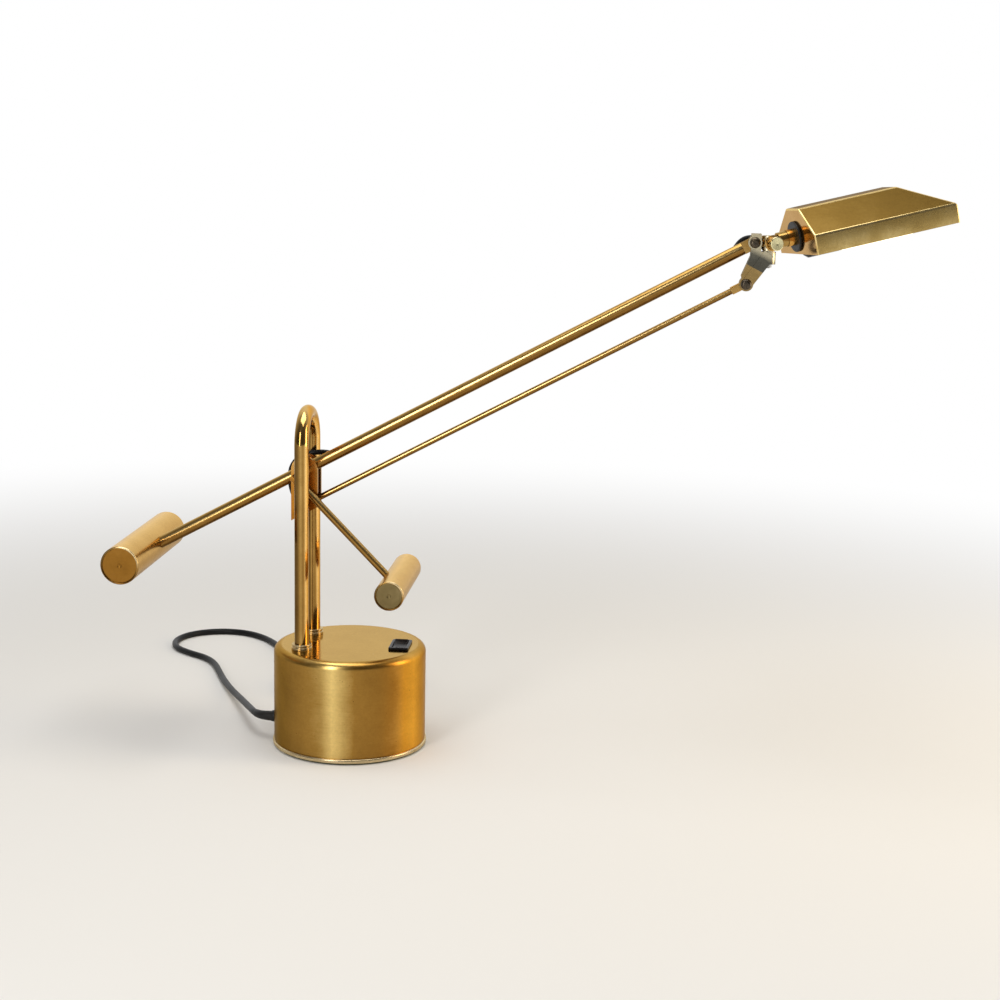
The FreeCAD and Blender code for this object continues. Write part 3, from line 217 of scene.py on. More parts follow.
def lathe(outline, at, along, cols=96):
    """Grid of a turned piece, and its outward spokes.

    A point is at + along * height + radius * (level * cos + square * sin), for each (radius, height) of the
    outline, which runs up the outside, so that the faces look outwards.
    """
    at, along = np.asarray(at, float), unit(along)
    spoke = around(cols) @ np.array(side_axes(along))
    outline = np.asarray(outline, float)
    return at + outline[:, 1, None, None] * along + outline[:, 0, None, None] * spoke[None], spoke[None]


def turned(name, outline, at, along, material, body, stands_for=(), cols=96, marks=None, bands=()):
    """Lathe piece from one outline. marks is a function of the spokes and of the heights."""
    grid, spoke = lathe(outline, at, along, cols)
    mark = None if marks is None else marks(spoke, np.asarray(outline)[:, 1, None])
    return surface(name, grid, material, body, stands_for, mark, bands=bands)


# %% [markdown]
# Tubes and wires follow a path. Rings that merely face along the path would twist, so each ring's axes are
# carried over from the last one and only turned as much as the path turns.

# %% Tubes along a path
def tube(name, path, radius, material, body, stands_for=(), cols=48, marks=None, lip=0.0003):
    """Round bar along a path, closed at both ends with a small rounded edge.

    A ring's side axis is the last ring's, less its part along the new direction. At each end the radius
    falls along a quarter circle of size lip, and then a flat closes it. radius is a number or one for each
    point. marks is a function of the spokes.
    """
    path = np.asarray(path, float)
    heading = np.gradient(path, axis=0)
    heading /= np.linalg.norm(heading, axis=1)[:, None]
    side = np.empty_like(path)
    side[0] = side_axes(heading[0])[0]
    for k in range(1, len(path)):
        side[k] = unit(side[k - 1] - heading[k] * (side[k - 1] @ heading[k]))
    other = np.cross(heading, side)
    radii = np.broadcast_to(np.asarray(radius, float), (len(path),))
    q = np.linspace(0, math.pi / 2, 5)
    ends = len(q) + 1
    first = path[0] + heading[0] * (lip * (1 - np.sin(q[::-1])))[:, None]
    last = path[-1] - heading[-1] * (lip * (1 - np.sin(q)))[:, None]
    centres = np.concatenate([path[:1], first, path[1:-1], last, path[-1:]])
    shrink = lip * (1 - np.cos(q))
    widths = np.concatenate([[0], radii[0] - shrink[::-1], radii[1:-1], radii[-1] - shrink, [0]])
    pick = np.concatenate([np.zeros(ends, int), np.arange(1, len(path) - 1), np.full(ends, len(path) - 1)])
    spoke = around(cols) @ np.stack([side[pick], other[pick]], axis=1)
    grid = centres[:, None] + widths[:, None, None] * spoke
    mark = None if marks is None else marks(spoke)
    return surface(name, grid, material, body, stands_for, mark)


def straight(a, b, count=24):
    """Evenly spaced points from a to b."""
    t = np.linspace(0, 1, count)[:, None]
    return np.asarray(a, float) * (1 - t) + np.asarray(b, float) * t


def distances(path):
    """Distance along a path at each of its points."""
    return np.append(0.0, np.cumsum(np.linalg.norm(np.diff(path, axis=0), axis=1)))


# %% [markdown]
# ## Finishes
#
# The lamp is old polished brass. Up close that is not one colour: it has cloudy brown tarnish, fine
# scratches that follow the way each piece was rubbed, and tiny dark pits. These marks are shared, so they
# are a node group that gives a colour, a roughness and a height, and each finish sets its own amounts.

# %% Small helpers for node trees
def feed(target, value):
    """Link a socket to an input, or set the input to a plain value."""
    if isinstance(value, bpy.types.NodeSocket):
        target.id_data.links.new(value, target)
    else:
        target.default_value = value


def add(tree, kind, **settings):
    """Add a node. Settings whose names are sockets feed those, and the rest are the node's own."""
    node = tree.nodes.new("ShaderNode" + kind)
    for key, value in settings.items():
        if hasattr(node, key):
            setattr(node, key, value)
        else:
            feed(node.inputs[key.replace("_", " ")], value)
    return node


def step(operation, a, b, clamp=False):
    """One arithmetic step on a socket; b is a socket or a plain number."""
    node = add(a.id_data, "Math", operation=operation, use_clamp=clamp)
    feed(node.inputs[0], a)
    feed(node.inputs[1], b)
    return node.outputs[0]


def plus(a, b, clamp=False):
    return step("ADD", a, b, clamp)


def times(a, b, clamp=False):
    return step("MULTIPLY", a, b, clamp)


def noise(position, scale, detail, roughness, distortion=0.0):
    """Noise at a position, as a number that wanders about 0.5."""
    return add(position.id_data, "TexNoise", Vector=position, Scale=scale, Detail=detail, Roughness=roughness,
               Distortion=distortion).outputs["Fac"]


def mix(share, a, b, mode="MIX"):
    """Mix a colour socket with b; share and b are sockets or plain values."""
    node = add(a.id_data, "Mix", data_type="RGBA", blend_type=mode)
    inputs = {s.identifier: s for s in node.inputs}
    for key, value in (("Factor_Float", share), ("A_Color", a), ("B_Color", b)):
        feed(inputs[key], value)
    return next(s for s in node.outputs if s.identifier == "Result_Color")


def ramp(value, stops, smooth=True):
    """Colour ramp with (place, grey) stops."""
    node = add(value.id_data, "ValToRGB", Fac=value)
    band = node.color_ramp
    band.interpolation = "EASE" if smooth else "LINEAR"
    while len(band.elements) < len(stops):
        band.elements.new(0.5)
    for element, (place, grey) in zip(band.elements, stops):
        element.position, element.color = place, (grey, grey, grey, 1)
    return node.outputs["Color"]


def along_direction(position, direction):
    """How far a position lies along a direction."""
    node = add(position.id_data, "VectorMath", operation="DOT_PRODUCT")
    feed(node.inputs[0], position)
    feed(node.inputs[1], tuple(float(x) for x in direction))
    return node.outputs["Value"]


def group(name, inputs):
    """Node group that puts out a colour, a roughness and a height: its tree, given and result sockets.

    A value tells its input's kind: None is a vector, a tuple is a colour, and a number is a number.
    """
    tree = bpy.data.node_groups.new(name, "ShaderNodeTree")
    outputs = {"Color": (0.0, 0.0, 0.0, 1.0), "Roughness": 0.0, "Height": 0.0}
    for way, sockets in (("INPUT", inputs), ("OUTPUT", outputs)):
        for key, value in sockets.items():
            kind = "Vector" if value is None else "Color" if isinstance(value, tuple) else "Float"
            item = tree.interface.new_socket(name=key, in_out=way, socket_type="NodeSocket" + kind)
            if value is not None:
                item.default_value = value
    return tree, tree.nodes.new("NodeGroupInput").outputs, tree.nodes.new("NodeGroupOutput").inputs


# %% [markdown]
# The group takes two positions, a tone and a warmth, three colours and five amounts. Clouds are low-frequency
# noise. Pits are the middles of small cells, kept where a finer noise is high. Scratches are noise at the second
# position, which each finish squeezes so hard in one direction that the noise becomes lines.

# %% The worn brass group
def worn_brass_group():
    """Clouds, scratches and pits over a tone that runs from dark through middle to bright."""
    tree, given, result = group("worn brass", {
        "Position": None, "Scratch Position": None, "Tone": 0.5, "Warmth": 0.0, "Bright": (0.8, 0.6, 0.3, 1),
        "Middle": (0.5, 0.3, 0.1, 1), "Dark": (0.15, 0.07, 0.02, 1), "Cloud Size": 30.0, "Cloud Amount": 0.35,
        "Scratch Amount": 0.3, "Pit Amount": 0.5, "Polish": 0.2})
    clouds = noise(given["Position"], given["Cloud Size"], 6.0, 0.62, 0.3)
    fine = noise(given["Position"], 420.0, 4.0, 0.7)
    lines = noise(given["Scratch Position"], 1.0, 5.0, 0.75)
    hair = noise(given["Scratch Position"], 3.7, 3.0, 0.8)
    specks = add(tree, "TexVoronoi", Vector=given["Position"], Scale=260.0).outputs["Distance"]

    drift = times(plus(clouds, -0.5), given["Cloud Amount"])
    streak = times(plus(lines, -0.5), given["Scratch Amount"])
    tone = plus(plus(given["Tone"], times(drift, 2.0)), streak, clamp=True)
    low = mix(times(tone, 2.0, clamp=True), given["Dark"], given["Middle"])
    colour = mix(plus(times(tone, 2.0), -1.0, clamp=True), low, given["Bright"])
    colour = mix(given["Warmth"], colour, mix(1.0, colour, (1.0, 0.66, 0.2, 1.0), "MULTIPLY"))

    speck = ramp(specks, ((0.0, 1.0), (0.2, 0.0)))
    keep = ramp(fine, ((0.5, 0.0), (0.62, 1.0)))
    pits = times(times(speck, keep), given["Pit Amount"])
    colour = mix(pits, colour, given["Dark"])
    mottle = plus(times(plus(fine, -0.5), 0.34), 1.0)
    grey = add(tree, "CombineColor", Red=mottle, Green=mottle, Blue=mottle).outputs[0]
    feed(result["Color"], mix(1.0, colour, grey, "MULTIPLY"))

    rough = plus(plus(given["Polish"], times(pits, 0.3)), times(drift, -0.35))
    feed(result["Roughness"], plus(rough, times(streak, 0.3), clamp=True))
    height = plus(times(hair, given["Scratch Amount"]), times(pits, -1.2))
    feed(result["Height"], plus(height, times(fine, 0.15)))
    return tree


worn_brass = worn_brass_group()
print("group", worn_brass.name, "has", len(worn_brass.nodes), "nodes")

# %% [markdown]
# A brass finish places that group, feeds it the piece's own position, and chooses how the scratches run:
# round a lathe piece, along a drawn tube, or by place on the rest. The masks called tone and warmth come from
# the mesh.

# %% Brass finishes
def opaque(colour):
    return (*colour, 1)


def finished(name, effect, amounts, bump_mm, **shader):
    """Material whose colour, roughness and relief come from an effect's group at the piece's own position.

    Returns the material, the group's node and the coordinates.
    """
    material = bpy.data.materials.new(name)
    material.use_nodes = True
    tree = material.node_tree
    place = add(tree, "TexCoord").outputs
    wear = add(tree, "Group", node_tree=effect, Position=place["Object"], **amounts)
    relief = add(tree, "Bump", Height=wear.outputs["Height"], Distance=bump_mm * 0.001)
    shader |= {"Base_Color": wear.outputs["Color"], "Roughness": wear.outputs["Roughness"],
               "Normal": relief.outputs["Normal"]}
    for key, value in shader.items():
        feed(tree.nodes["Principled BSDF"].inputs[key.replace("_", " ")], value)
    return material, wear, place


squeezes = {"along": (90, 14, 1), "round": (0, 2600, 1), "loose": (60, 60, 900)}


def brass(name, bright, middle, dark, polish, cloud, size, scratch, pit, run, bump, tone=None,
          edge=(0.96, 0.86, 0.66)):
    """Worn brass with its own colours and amounts.

    run is along, round or loose, and bump is in mm. tone is a number, or None to read tone and warmth from
    the mesh.
    """
    amounts = dict(Bright=opaque(bright), Middle=opaque(middle), Dark=opaque(dark), Cloud_Size=size,
                   Cloud_Amount=cloud, Scratch_Amount=scratch, Pit_Amount=pit, Polish=polish)
    material, wear, place = finished(name, worn_brass, amounts, bump, Metallic=1.0, Specular_Tint=opaque(edge))
    tree = material.node_tree
    squeeze = add(tree, "Mapping", Vector=place["Object" if run == "loose" else "UV"], Scale=squeezes[run])
    feed(wear.inputs["Scratch Position"], squeeze.outputs["Vector"])
    if tone is None:
        for word in ("tone", "warmth"):
            feed(wear.inputs[word.title()], add(tree, "Attribute", attribute_name=word).outputs["Fac"])
    else:
        wear.inputs["Tone"].default_value = tone
    return material


# Colours from bright to dark, polish, then cloud amount and size, scratch, pit, run and bump
brass_drum = brass("drum brass", (0.86, 0.63, 0.23), (0.36, 0.205, 0.046), (0.09, 0.044, 0.0085), 0.3, 0.22, 22,
                   0.14, 1.0, "loose", 0.03, edge=(0.9, 0.76, 0.52))
brass_crown = brass("crown brass", (0.64, 0.44, 0.16), (0.46, 0.3, 0.1), (0.18, 0.1, 0.025), 0.15, 0.2, 26, 0.2,
                    1.0, "loose", 0.02, edge=(0.92, 0.8, 0.58))
brass_tube = brass("drawn tube brass", (0.95, 0.71, 0.32), (0.4, 0.24, 0.065), (0.07, 0.032, 0.008), 0.13, 0.15,
                   40, 0.16, 0.3, "along", 0.003)
brass_bar = brass("bar brass", (0.9, 0.68, 0.31), (0.4, 0.24, 0.068), (0.07, 0.032, 0.008), 0.23, 0.15, 40, 0.1,
                  0.3, "along", 0.002)
brass_weight = brass("weight brass", (0.86, 0.6, 0.24), (0.48, 0.29, 0.085), (0.13, 0.06, 0.014), 0.26, 0.16,
                     30, 0.35, 0.4, "round", 0.02)
brass_amber_end = brass("amber end face", (0.42, 0.21, 0.05), (0.27, 0.125, 0.02), (0.09, 0.036, 0.006), 0.32,
                        0.3, 50, 0.4, 0.6, "round", 0.02)
brass_olive_end = brass("olive end face", (0.42, 0.33, 0.17), (0.21, 0.155, 0.065), (0.06, 0.042, 0.017), 0.32,
                        0.35, 60, 0.9, 0.8, "round", 0.05)
brass_rim = brass("rubbed rim", (1.0, 0.84, 0.52), (0.4, 0.25, 0.08), (0.06, 0.03, 0.008), 0.2, 0.1, 60, 0.2,
                  0.2, "round", 0.01)
brass_shade = brass("shade brass", (0.34, 0.225, 0.068), (0.175, 0.105, 0.026), (0.08, 0.044, 0.011), 0.3, 0.2,
                    20, 0.12, 0.4, "loose", 0.015, tone=0.5, edge=(0.5, 0.38, 0.2))
# Lips: a brighter copy of the shade's brass, a painted reflection.
lip_brass_painted_reflection = brass("lip brass", (0.95, 0.74, 0.34), (0.52, 0.36, 0.12), (0.2, 0.12, 0.03), 0.24, 0.5, 34, 0.12,
                  0.4, "loose", 0.02, tone=0.56)
# Folds: rubbed wear and a painted highlight.
fold_brass_wear_and_highlight = brass("rubbed fold", (0.98, 0.79, 0.42), (0.62, 0.43, 0.15), (0.2, 0.12, 0.03), 0.22, 0.4, 60, 0.1,
                   0.2, "loose", 0.01, tone=0.62)
brass_panel = brass("end panel brass", (0.66, 0.43, 0.22), (0.46, 0.27, 0.11), (0.24, 0.12, 0.04), 0.13, 0.2,
                    40, 0.1, 0.5, "loose", 0.01, tone=0.56)
brass_small = brass("small brass", (0.9, 0.66, 0.3), (0.46, 0.27, 0.075), (0.13, 0.055, 0.013), 0.2, 0.25, 60,
                    0.15, 0.4, "loose", 0.01, tone=0.5)
brass_ring = brass("ring brass", (0.9, 0.78, 0.54), (0.55, 0.43, 0.24), (0.2, 0.13, 0.05), 0.28, 0.4, 50, 0.3,
                   0.6, "loose", 0.02, tone=0.55)
print(len(bpy.data.materials), "finishes so far")

# %% [markdown]
# The rest of the finishes aren't brass. Each still gets a small variation from one shared mottling: fine on
# plastic and felt, and deep and rough on cast iron.

# %% Other finishes
def grained_group():
    """Shared mottling: a colour that wanders about its middle, a roughness that does too, and a height."""
    tree, given, result = group("grained", {
        "Position": None, "Color": (0.5, 0.5, 0.5, 1), "Worn Color": (0.6, 0.6, 0.6, 1), "Grain Size": 300.0,
        "Wear": 0.3, "Polish": 0.4, "Polish Change": 0.1})
    fine = noise(given["Position"], given["Grain Size"], 5.0, 0.65)
    broad = noise(given["Position"], 35.0, 4.0, 0.6)
    share = times(times(ramp(broad, ((0.45, 0.0), (0.7, 1.0))), fine), given["Wear"])
    feed(result["Color"], mix(share, given["Color"], given["Worn Color"]))
    drift = times(plus(broad, -0.5), times(given["Polish Change"], 2.0))
    feed(result["Roughness"], plus(given["Polish"], drift, clamp=True))
    feed(result["Height"], fine)
    return tree


grained = grained_group()


def plain(name, colour, worn, metallic, polish, change, grain, wear, bump, sheen=0.0, specular=0.5):
    """Finish with the shared mottling, from plastic to iron."""
    amounts = dict(Color=opaque(colour), Worn_Color=opaque(worn), Grain_Size=grain, Wear=wear, Polish=polish,
                   Polish_Change=change)
    return finished(name, grained, amounts, bump, Metallic=metallic, Sheen_Weight=sheen,
                    Specular_IOR_Level=specular)[0]


# Colour, worn colour, metallic, polish and its change, grain size, wear and bump
gloss_black = plain("glossy black plastic", (0.006, 0.006, 0.007), (0.02, 0.02, 0.021), 0.0, 0.26, 0.08, 500,
                    0.4, 0.01, specular=0.14)
dull_black = plain("dull black plastic", (0.008, 0.008, 0.008), (0.025, 0.023, 0.021), 0.0, 0.45, 0.1, 600,
                   0.4, 0.03, specular=0.3)
cord_black = plain("cord sheath", (0.007, 0.007, 0.0075), (0.022, 0.021, 0.021), 0.0, 0.4, 0.12, 900, 0.5, 0.03,
                   specular=0.16)
steel = plain("plated steel", (0.52, 0.5, 0.46), (0.3, 0.26, 0.2), 1.0, 0.28, 0.15, 700, 0.7, 0.01)
dark_steel = plain("darkened steel", (0.07, 0.058, 0.045), (0.3, 0.22, 0.12), 1.0, 0.33, 0.15, 500, 0.6, 0.02)
cast_iron = plain("cast iron", (0.1, 0.095, 0.09), (0.2, 0.13, 0.08), 1.0, 0.6, 0.1, 400, 0.7, 0.2)
felt = plain("green felt", (0.03, 0.05, 0.03), (0.07, 0.09, 0.06), 0.0, 0.95, 0.04, 1400, 0.8, 0.3, sheen=0.5)
terminal_white = plain("terminal plastic", (0.7, 0.68, 0.6), (0.55, 0.5, 0.4), 0.0, 0.4, 0.1, 300, 0.4, 0.02)
print(len(bpy.data.materials), "finishes in all")

# %% [markdown]
# The lamp itself glows. The glass is white, frosted inside, and gives a warm light of its own. A brighter
# middle would look burnt out in the picture, so the strength is low and the studio does most of the work.

# %% Lit glass
lamp_glass = plain("frosted lamp glass", (0.9, 0.86, 0.76), (0.8, 0.74, 0.6), 0.0, 0.3, 0.05, 200, 0.3, 0.005)
glow = lamp_glass.node_tree.nodes["Principled BSDF"].inputs
glow["Emission Color"].default_value = (1.0, 0.86, 0.62, 1)
glow["Emission Strength"].default_value = 1.6
print(lamp_glass.name, "glows at", round(glow["Emission Strength"].default_value, 1))

# %% [markdown]
# ## The drum
#
# The base is a disc of brass spun over a former into a cup, so its wall, its soft shoulder and its crown are
# one skin 2 mm thick. A lathe outline would do, but the crown has a square window for the switch. So each
# ring of the crown moves gradually from the shoulder's circle to the window's edge, in the same directions
# from the window's middle.

# %% Drum shape
drum_radius, drum_top, shoulder, skin, broken_edge = 0.065, 0.088, 0.0065, 0.002, 0.0002
drum_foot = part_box("base_shell")[0].z
switch_at, window_half = np.array([0.044, -0.0035]), np.array([0.0071, 0.0125])
compass = around(192)


def at_height(flat, height):
    """Row of points from their X and Y, all at one height."""
    return np.concatenate([flat, np.full((len(flat), 1), height)], -1)


def crown_row(share, radius, height):
    """Row that is the circle at share 0 and the window's edge at share 1.

    The edge point is the window's middle plus the direction to the circle point, cut to the half sizes.
    """
    reach = radius * compass - switch_at
    scale = np.min(window_half / np.maximum(np.abs(reach), 1e-9), axis=1)
    return at_height((1 - share) * radius * compass + share * (switch_at + reach * scale[:, None]), height)


def shoulder_row(turn, thick=0.0):
    """Circle on the shoulder's quarter round, or on its inside at a depth of thick."""
    reach = shoulder - thick
    return at_height((neck + reach * math.cos(turn)) * compass, drum_top - shoulder + reach * math.sin(turn))


bend = np.linspace(0, math.pi / 2, 12)
neck = drum_radius - shoulder
foot_edge = at_height((drum_radius - broken_edge) * compass, drum_foot)
outside = [foot_edge, at_height(drum_radius * compass, drum_foot + broken_edge)]
outside += [at_height(drum_radius * compass, z)
            for z in np.linspace(drum_foot + 0.002, drum_top - shoulder - 0.0005, 24)]
outside += [shoulder_row(turn) for turn in bend]
crown_from = len(outside) - 1
outside += [crown_row(share, neck, drum_top) for share in (0.01, 0.3, 0.7, 0.98, 1.0)]
inside = [crown_row(share, neck, drum_top - skin) for share in (1.0, 0.98, 0.5, 0.01)]
inside += [shoulder_row(turn, skin) for turn in bend[::-1]]
inside += [at_height((drum_radius - skin) * compass, drum_foot), foot_edge]
drum_grid = np.array(outside + inside)
print("drum has", drum_grid.shape[0], "rings of", drum_grid.shape[1], "points")

# %% [markdown]
# The wall's bands are painted reflections: a brown side, a pale streak and a warm orange side. They are
# painted onto the mesh as a number for each point, by compass direction, so that they stay in place from
# every side.

# %% Painted reflections round the drum
viewer_side = math.radians(-80.3)


def drum_painted_reflections(spoke):
    """Tone and warmth from the outward direction's angle from the viewer's side, by a table of angles."""
    off = np.degrees((np.arctan2(spoke[..., 1], spoke[..., 0]) - viewer_side + math.pi) % (2 * math.pi) - math.pi)
    angles = (-180, -150, -115, -90, -70, -40, -22, -13, -5, 4, 22, 34, 44, 56, 68, 90, 120, 150, 180)
    tones = (0.45, 0.6, 0.4, 0.22, 0.26, 0.42, 0.6, 0.97, 0.68, 0.42, 0.4, 0.52, 0.8, 0.95, 0.66, 0.4, 0.5, 0.6, 0.45)
    warms = (0.3, 0.2, 0.3, 0.3, 0.2, 0.1, 0.0, 0.0, 0.0, 0.15, 0.3, 0.6, 1.0, 1.0, 0.9, 0.7, 0.5, 0.3, 0.3)
    return np.interp(off, angles, tones), np.interp(off, angles, warms)


# The wall's tone and warmth are painted reflections; the crown gets one flat tone.
tone, warm = drum_painted_reflections(compass[None])
down = np.zeros((len(drum_grid), 1))
down[crown_from:crown_from + 6] = 1
down[crown_from - 8:crown_from] = np.linspace(0.1, 0.9, 8)[:, None]
crown_tone, crown_warmth = 0.6, 0.1
tone, warm = tone * (1 - down) + crown_tone * down, warm * (1 - down) + crown_warmth * down
drum = surface("drum", drum_grid, brass_drum, "stand", ["base_shell"], (tone, warm),
               bands=[(crown_from, crown_from + 5, brass_crown)])
print("drum", len(drum.data.polygons), "faces")

# %% [markdown]
# A plain ring holds the felt and closes the cup. Then come the feet of the stand: turned collars, each with
# a groove, which hide the holes that the legs go through.

# %% Foot ring and collars
ring_in, ring_out, ring_low, ring_high = 0.0612, 0.066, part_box("base_ring")[0].z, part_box("base_ring")[1].z
ring_line = rounded([(ring_in, ring_low), (ring_out, ring_low), (ring_out, ring_high), (ring_in, ring_high),
                     (ring_in, ring_low)], [0.0008, 0.0013, 0.0002])
turned("foot_ring", ring_line, (0, 0, 0), (0, 0, 1), brass_ring, "stand", ["base_ring"], 192)

leg_x, leg_y, leg_radius = -0.037, 0.026, 0.006
collar_line = rounded([(0.0058, 0), (0.0086, 0), (0.0086, 0.0022), (0.0079, 0.0026), (0.0079, 0.0034),
                       (0.0084, 0.0038), (0.0084, 0.005), (0.0058, 0.005), (0.0058, 0)],
                      [0.0003, 0.0003, 0.0002, 0.0002, 0.0003, 0.0005, 0.0001])
pair = [lathe(collar_line, (leg_x, y, drum_top), upright, 64)[0] for y in (-leg_y, leg_y)]
collars = surface("leg_collars_turned", pair, brass_ring, "stand", ["leg_collars"])
print("collars are", round(collars.dimensions.x * 1000, 1), "mm across")

# %% [markdown]
# ## The stand
#
# One brass tube is bent round a wheel into an upside-down U. Its path is two straight runs and a half circle,
# and the tube helper carries a circle along it.

# %% Inverted U
stand_top, leg_foot = 0.293, 0.0765
bend_at = stand_top - leg_radius - leg_y
arc = np.linspace(0, math.pi, 49)
legs_path = np.concatenate([
    straight((leg_x, -leg_y, leg_foot), (leg_x, -leg_y, bend_at), 60)[:-1],
    np.stack([np.full(len(arc), leg_x), -leg_y * np.cos(arc), bend_at + leg_y * np.sin(arc)], -1),
    straight((leg_x, leg_y, bend_at), (leg_x, leg_y, leg_foot), 60)[1:]])


def leg_painted_reflections(spoke):
    """Painted reflections: brighter facing the viewer's side, browner at the back and below, warmer on one side."""
    facing = spoke[..., 0] * math.cos(viewer_side) + spoke[..., 1] * math.sin(viewer_side)
    across = -spoke[..., 0] * math.sin(viewer_side) + spoke[..., 1] * math.cos(viewer_side)
    off = np.degrees(np.arctan2(across, facing))
    tone = np.interp(off, (-180, -100, -80, -52, -28, -14, -2, 10, 22, 34, 52, 68, 90, 180),
                     (0.4, 0.3, 0.06, 0.08, 0.18, 0.46, 0.56, 0.34, 0.5, 0.97, 0.9, 0.6, 0.45, 0.4))
    top = np.clip(spoke[..., 2], 0, 1)
    return tone * (1 - top) + 0.7 * top, np.interp(off, (-180, 0, 30, 60, 90, 180), (0.2, 0.1, 0.35, 0.9, 0.7, 0.2))


tube("stand_legs", legs_path, leg_radius, brass_tube, "stand", ["stand_tube"], cols=64, marks=leg_painted_reflections)

# %% [markdown]
# ## Arm, tie rod and small weight's rod
#
# The arm is a straight tube through the pivot, tilted in the plane of X and Z. Every place on it is the pivot
# plus a distance along it and a distance square to it, so one function gives them all.

# %% Places on the arm
pivot = np.array([leg_x, 0.0, 0.239])
away = np.array([0, 1.0, 0])
arm_angle, swing = np.radians([28.4, -45.7])
arm_dir = np.array([math.cos(arm_angle), 0, math.sin(arm_angle)])
arm_up = np.array([-math.sin(arm_angle), 0, math.cos(arm_angle)])
swing_dir = np.array([math.cos(swing), 0, math.sin(swing)])
swing_side = np.array([math.sin(swing), 0, -math.cos(swing)])


def on_arm(along, up=0.0, back=0.0):
    """Pivot, plus along and up in the arm's own directions, plus back away from the viewer."""
    return pivot + arm_dir * along + arm_up * up + away * back


def on_swing(along, nearer=0.0126):
    """Place on the small weight's rod, which hangs nearer the viewer than the arm does."""
    return pivot + swing_side * 0.0106 + swing_dir * along - away * nearer


head_pivot = on_arm(0.4165)
arm_from, arm_to = on_arm(-0.166), on_arm(0.406)
big_at, small_at = on_arm(-0.160, 0.003), on_swing(0.1227, nearer=0)
eye_drop = [-0.0058, 0, -0.0335]
low_eye, high_eye = pivot + eye_drop, head_pivot + eye_drop
print("head pivot", np.round(head_pivot, 4), "small weight", np.round(small_at, 4))

# %% Tubes of the linkage
def bar_painted_reflections(spoke):
    """Painted highlight along the top, painted dark reflection underneath, and a thin painted pale line low on the
    viewer's side.
    """
    up = np.degrees(np.arctan2(spoke @ arm_up, -spoke[..., 1]))
    tone = np.interp(up, (-180, -120, -80, -50, -34, -24, -12, 4, 16, 28, 42, 60, 85, 110, 150, 180),
                     (0.4, 0.2, 0.1, 0.06, 0.14, 0.3, 0.22, 0.5, 0.97, 0.7, 0.42, 0.46, 0.66, 0.6, 0.45, 0.4))
    return tone, np.interp(up, (-90, -40, 0, 60, 120), (0.5, 0.45, 0.25, 0.0, 0.1))


eye_end = arm_dir * 0.0041
tube("balance_arm", straight(arm_from, arm_to, 120), 0.005, brass_bar, "main_arm", ["main_arm"], cols=64,
     marks=bar_painted_reflections)
tube("tie_rod_bar", straight(low_eye + eye_end, high_eye - eye_end, 90), 0.0025, brass_bar, "tie_rod", ["tie_rod"],
     cols=40, marks=bar_painted_reflections)
tube("small_weight_bar", straight(on_swing(-0.002), on_swing(0.1277), 40), 0.00315, brass_bar, "link",
     ["small_weight_rod"], cols=40, marks=bar_painted_reflections)
print("arm", round(float(np.linalg.norm(arm_to - arm_from)) * 1000), "mm long")

# %% [markdown]
# ## Counterweights
#
# Each weight is a length of brass tube filled with iron, with a disc let in at each end, a hair below the rim.
# The tube is a closed lathe outline: up the outside, over the rim, and back down inside. The discs were faced
# on a lathe, which left rings, and they were never polished, so they are darker.

# %% Tube, rims and end discs
def weight(name, at, radius, half, body, nodes, end_finish):
    """Tube with rounded rims along Y, and two faced discs let into it."""
    wall, sink, thick, rim = 0.0015, 0.0005, 0.0016, 0.00075
    line = rounded([(radius - wall, -half), (radius, -half), (radius, -half + 0.004), (radius, half - 0.004),
                    (radius, half), (radius - wall, half), (radius - wall, -half)], [0.0007, 0, 0, 0.0007, 0.0003])
    edge = [k for k in range(len(line)) if abs(line[k, 1]) > half - rim]
    low = max(k for k in edge if line[k, 1] < 0 and k < len(line) // 2)
    high = [k for k in edge if line[k, 1] > 0]

    def weight_painted_light(spoke, height):
        # Painted light: brighter on top, darker and warmer below, and the rubbed rims with a painted highlight
        # towards the top.
        up = np.degrees(np.arctan2(spoke[..., 2], spoke[..., 0]))
        tone = np.interp(up, (-180, -140, -90, -50, -10, 30, 60, 90, 125, 160, 180),
                         (0.4, 0.25, 0.2, 0.35, 0.5, 0.6, 0.75, 0.9, 0.62, 0.45, 0.4))
        rubbed = np.interp(up, (-180, -40, 0, 40, 75, 110, 180), (0.1, 0.15, 0.6, 1.0, 0.9, 0.4, 0.1))
        tone = np.where(np.abs(height) > half - rim, rubbed, tone)
        return tone, np.interp(up, (-90, 0, 90), (0.5, 0.3, 0.1)) + 0 * height

    case = turned(name + "_tube", line, at, away, brass_weight, body, nodes[:1], 128, weight_painted_light,
                  [(0, low, brass_rim), (min(high), max(high), brass_rim)])
    face, out = radius - wall - 0.00004, half - sink
    line = rounded([(0, out - thick), (face, out - thick), (face, out), (0.002, out), (0.0012, out - 0.0004),
                    (0, out - 0.0006)], [0.0001, 0.0004, 0.0001, 0.0001])
    surface(name + "_discs", [lathe(line, at, away * side)[0] for side in (-1, 1)], end_finish, body, nodes[1:])
    print(name, [round(d * 1000) for d in case.dimensions], "mm")


weight("big_weight", big_at, 0.016, 0.074, "main_arm", ["main_weight_case", "main_weight_ends"], brass_amber_end)
weight("small_weight", small_at, 0.01235, 0.0535, "link", ["small_weight_case", "small_weight_ends"],
       brass_olive_end)

# %% [markdown]
# ## Head: its own directions
#
# The head is turned a little away from the viewer, tilted up and rolled slightly. Three directions are enough
# to place all its pieces: out along the stem, across towards the viewer, and over.

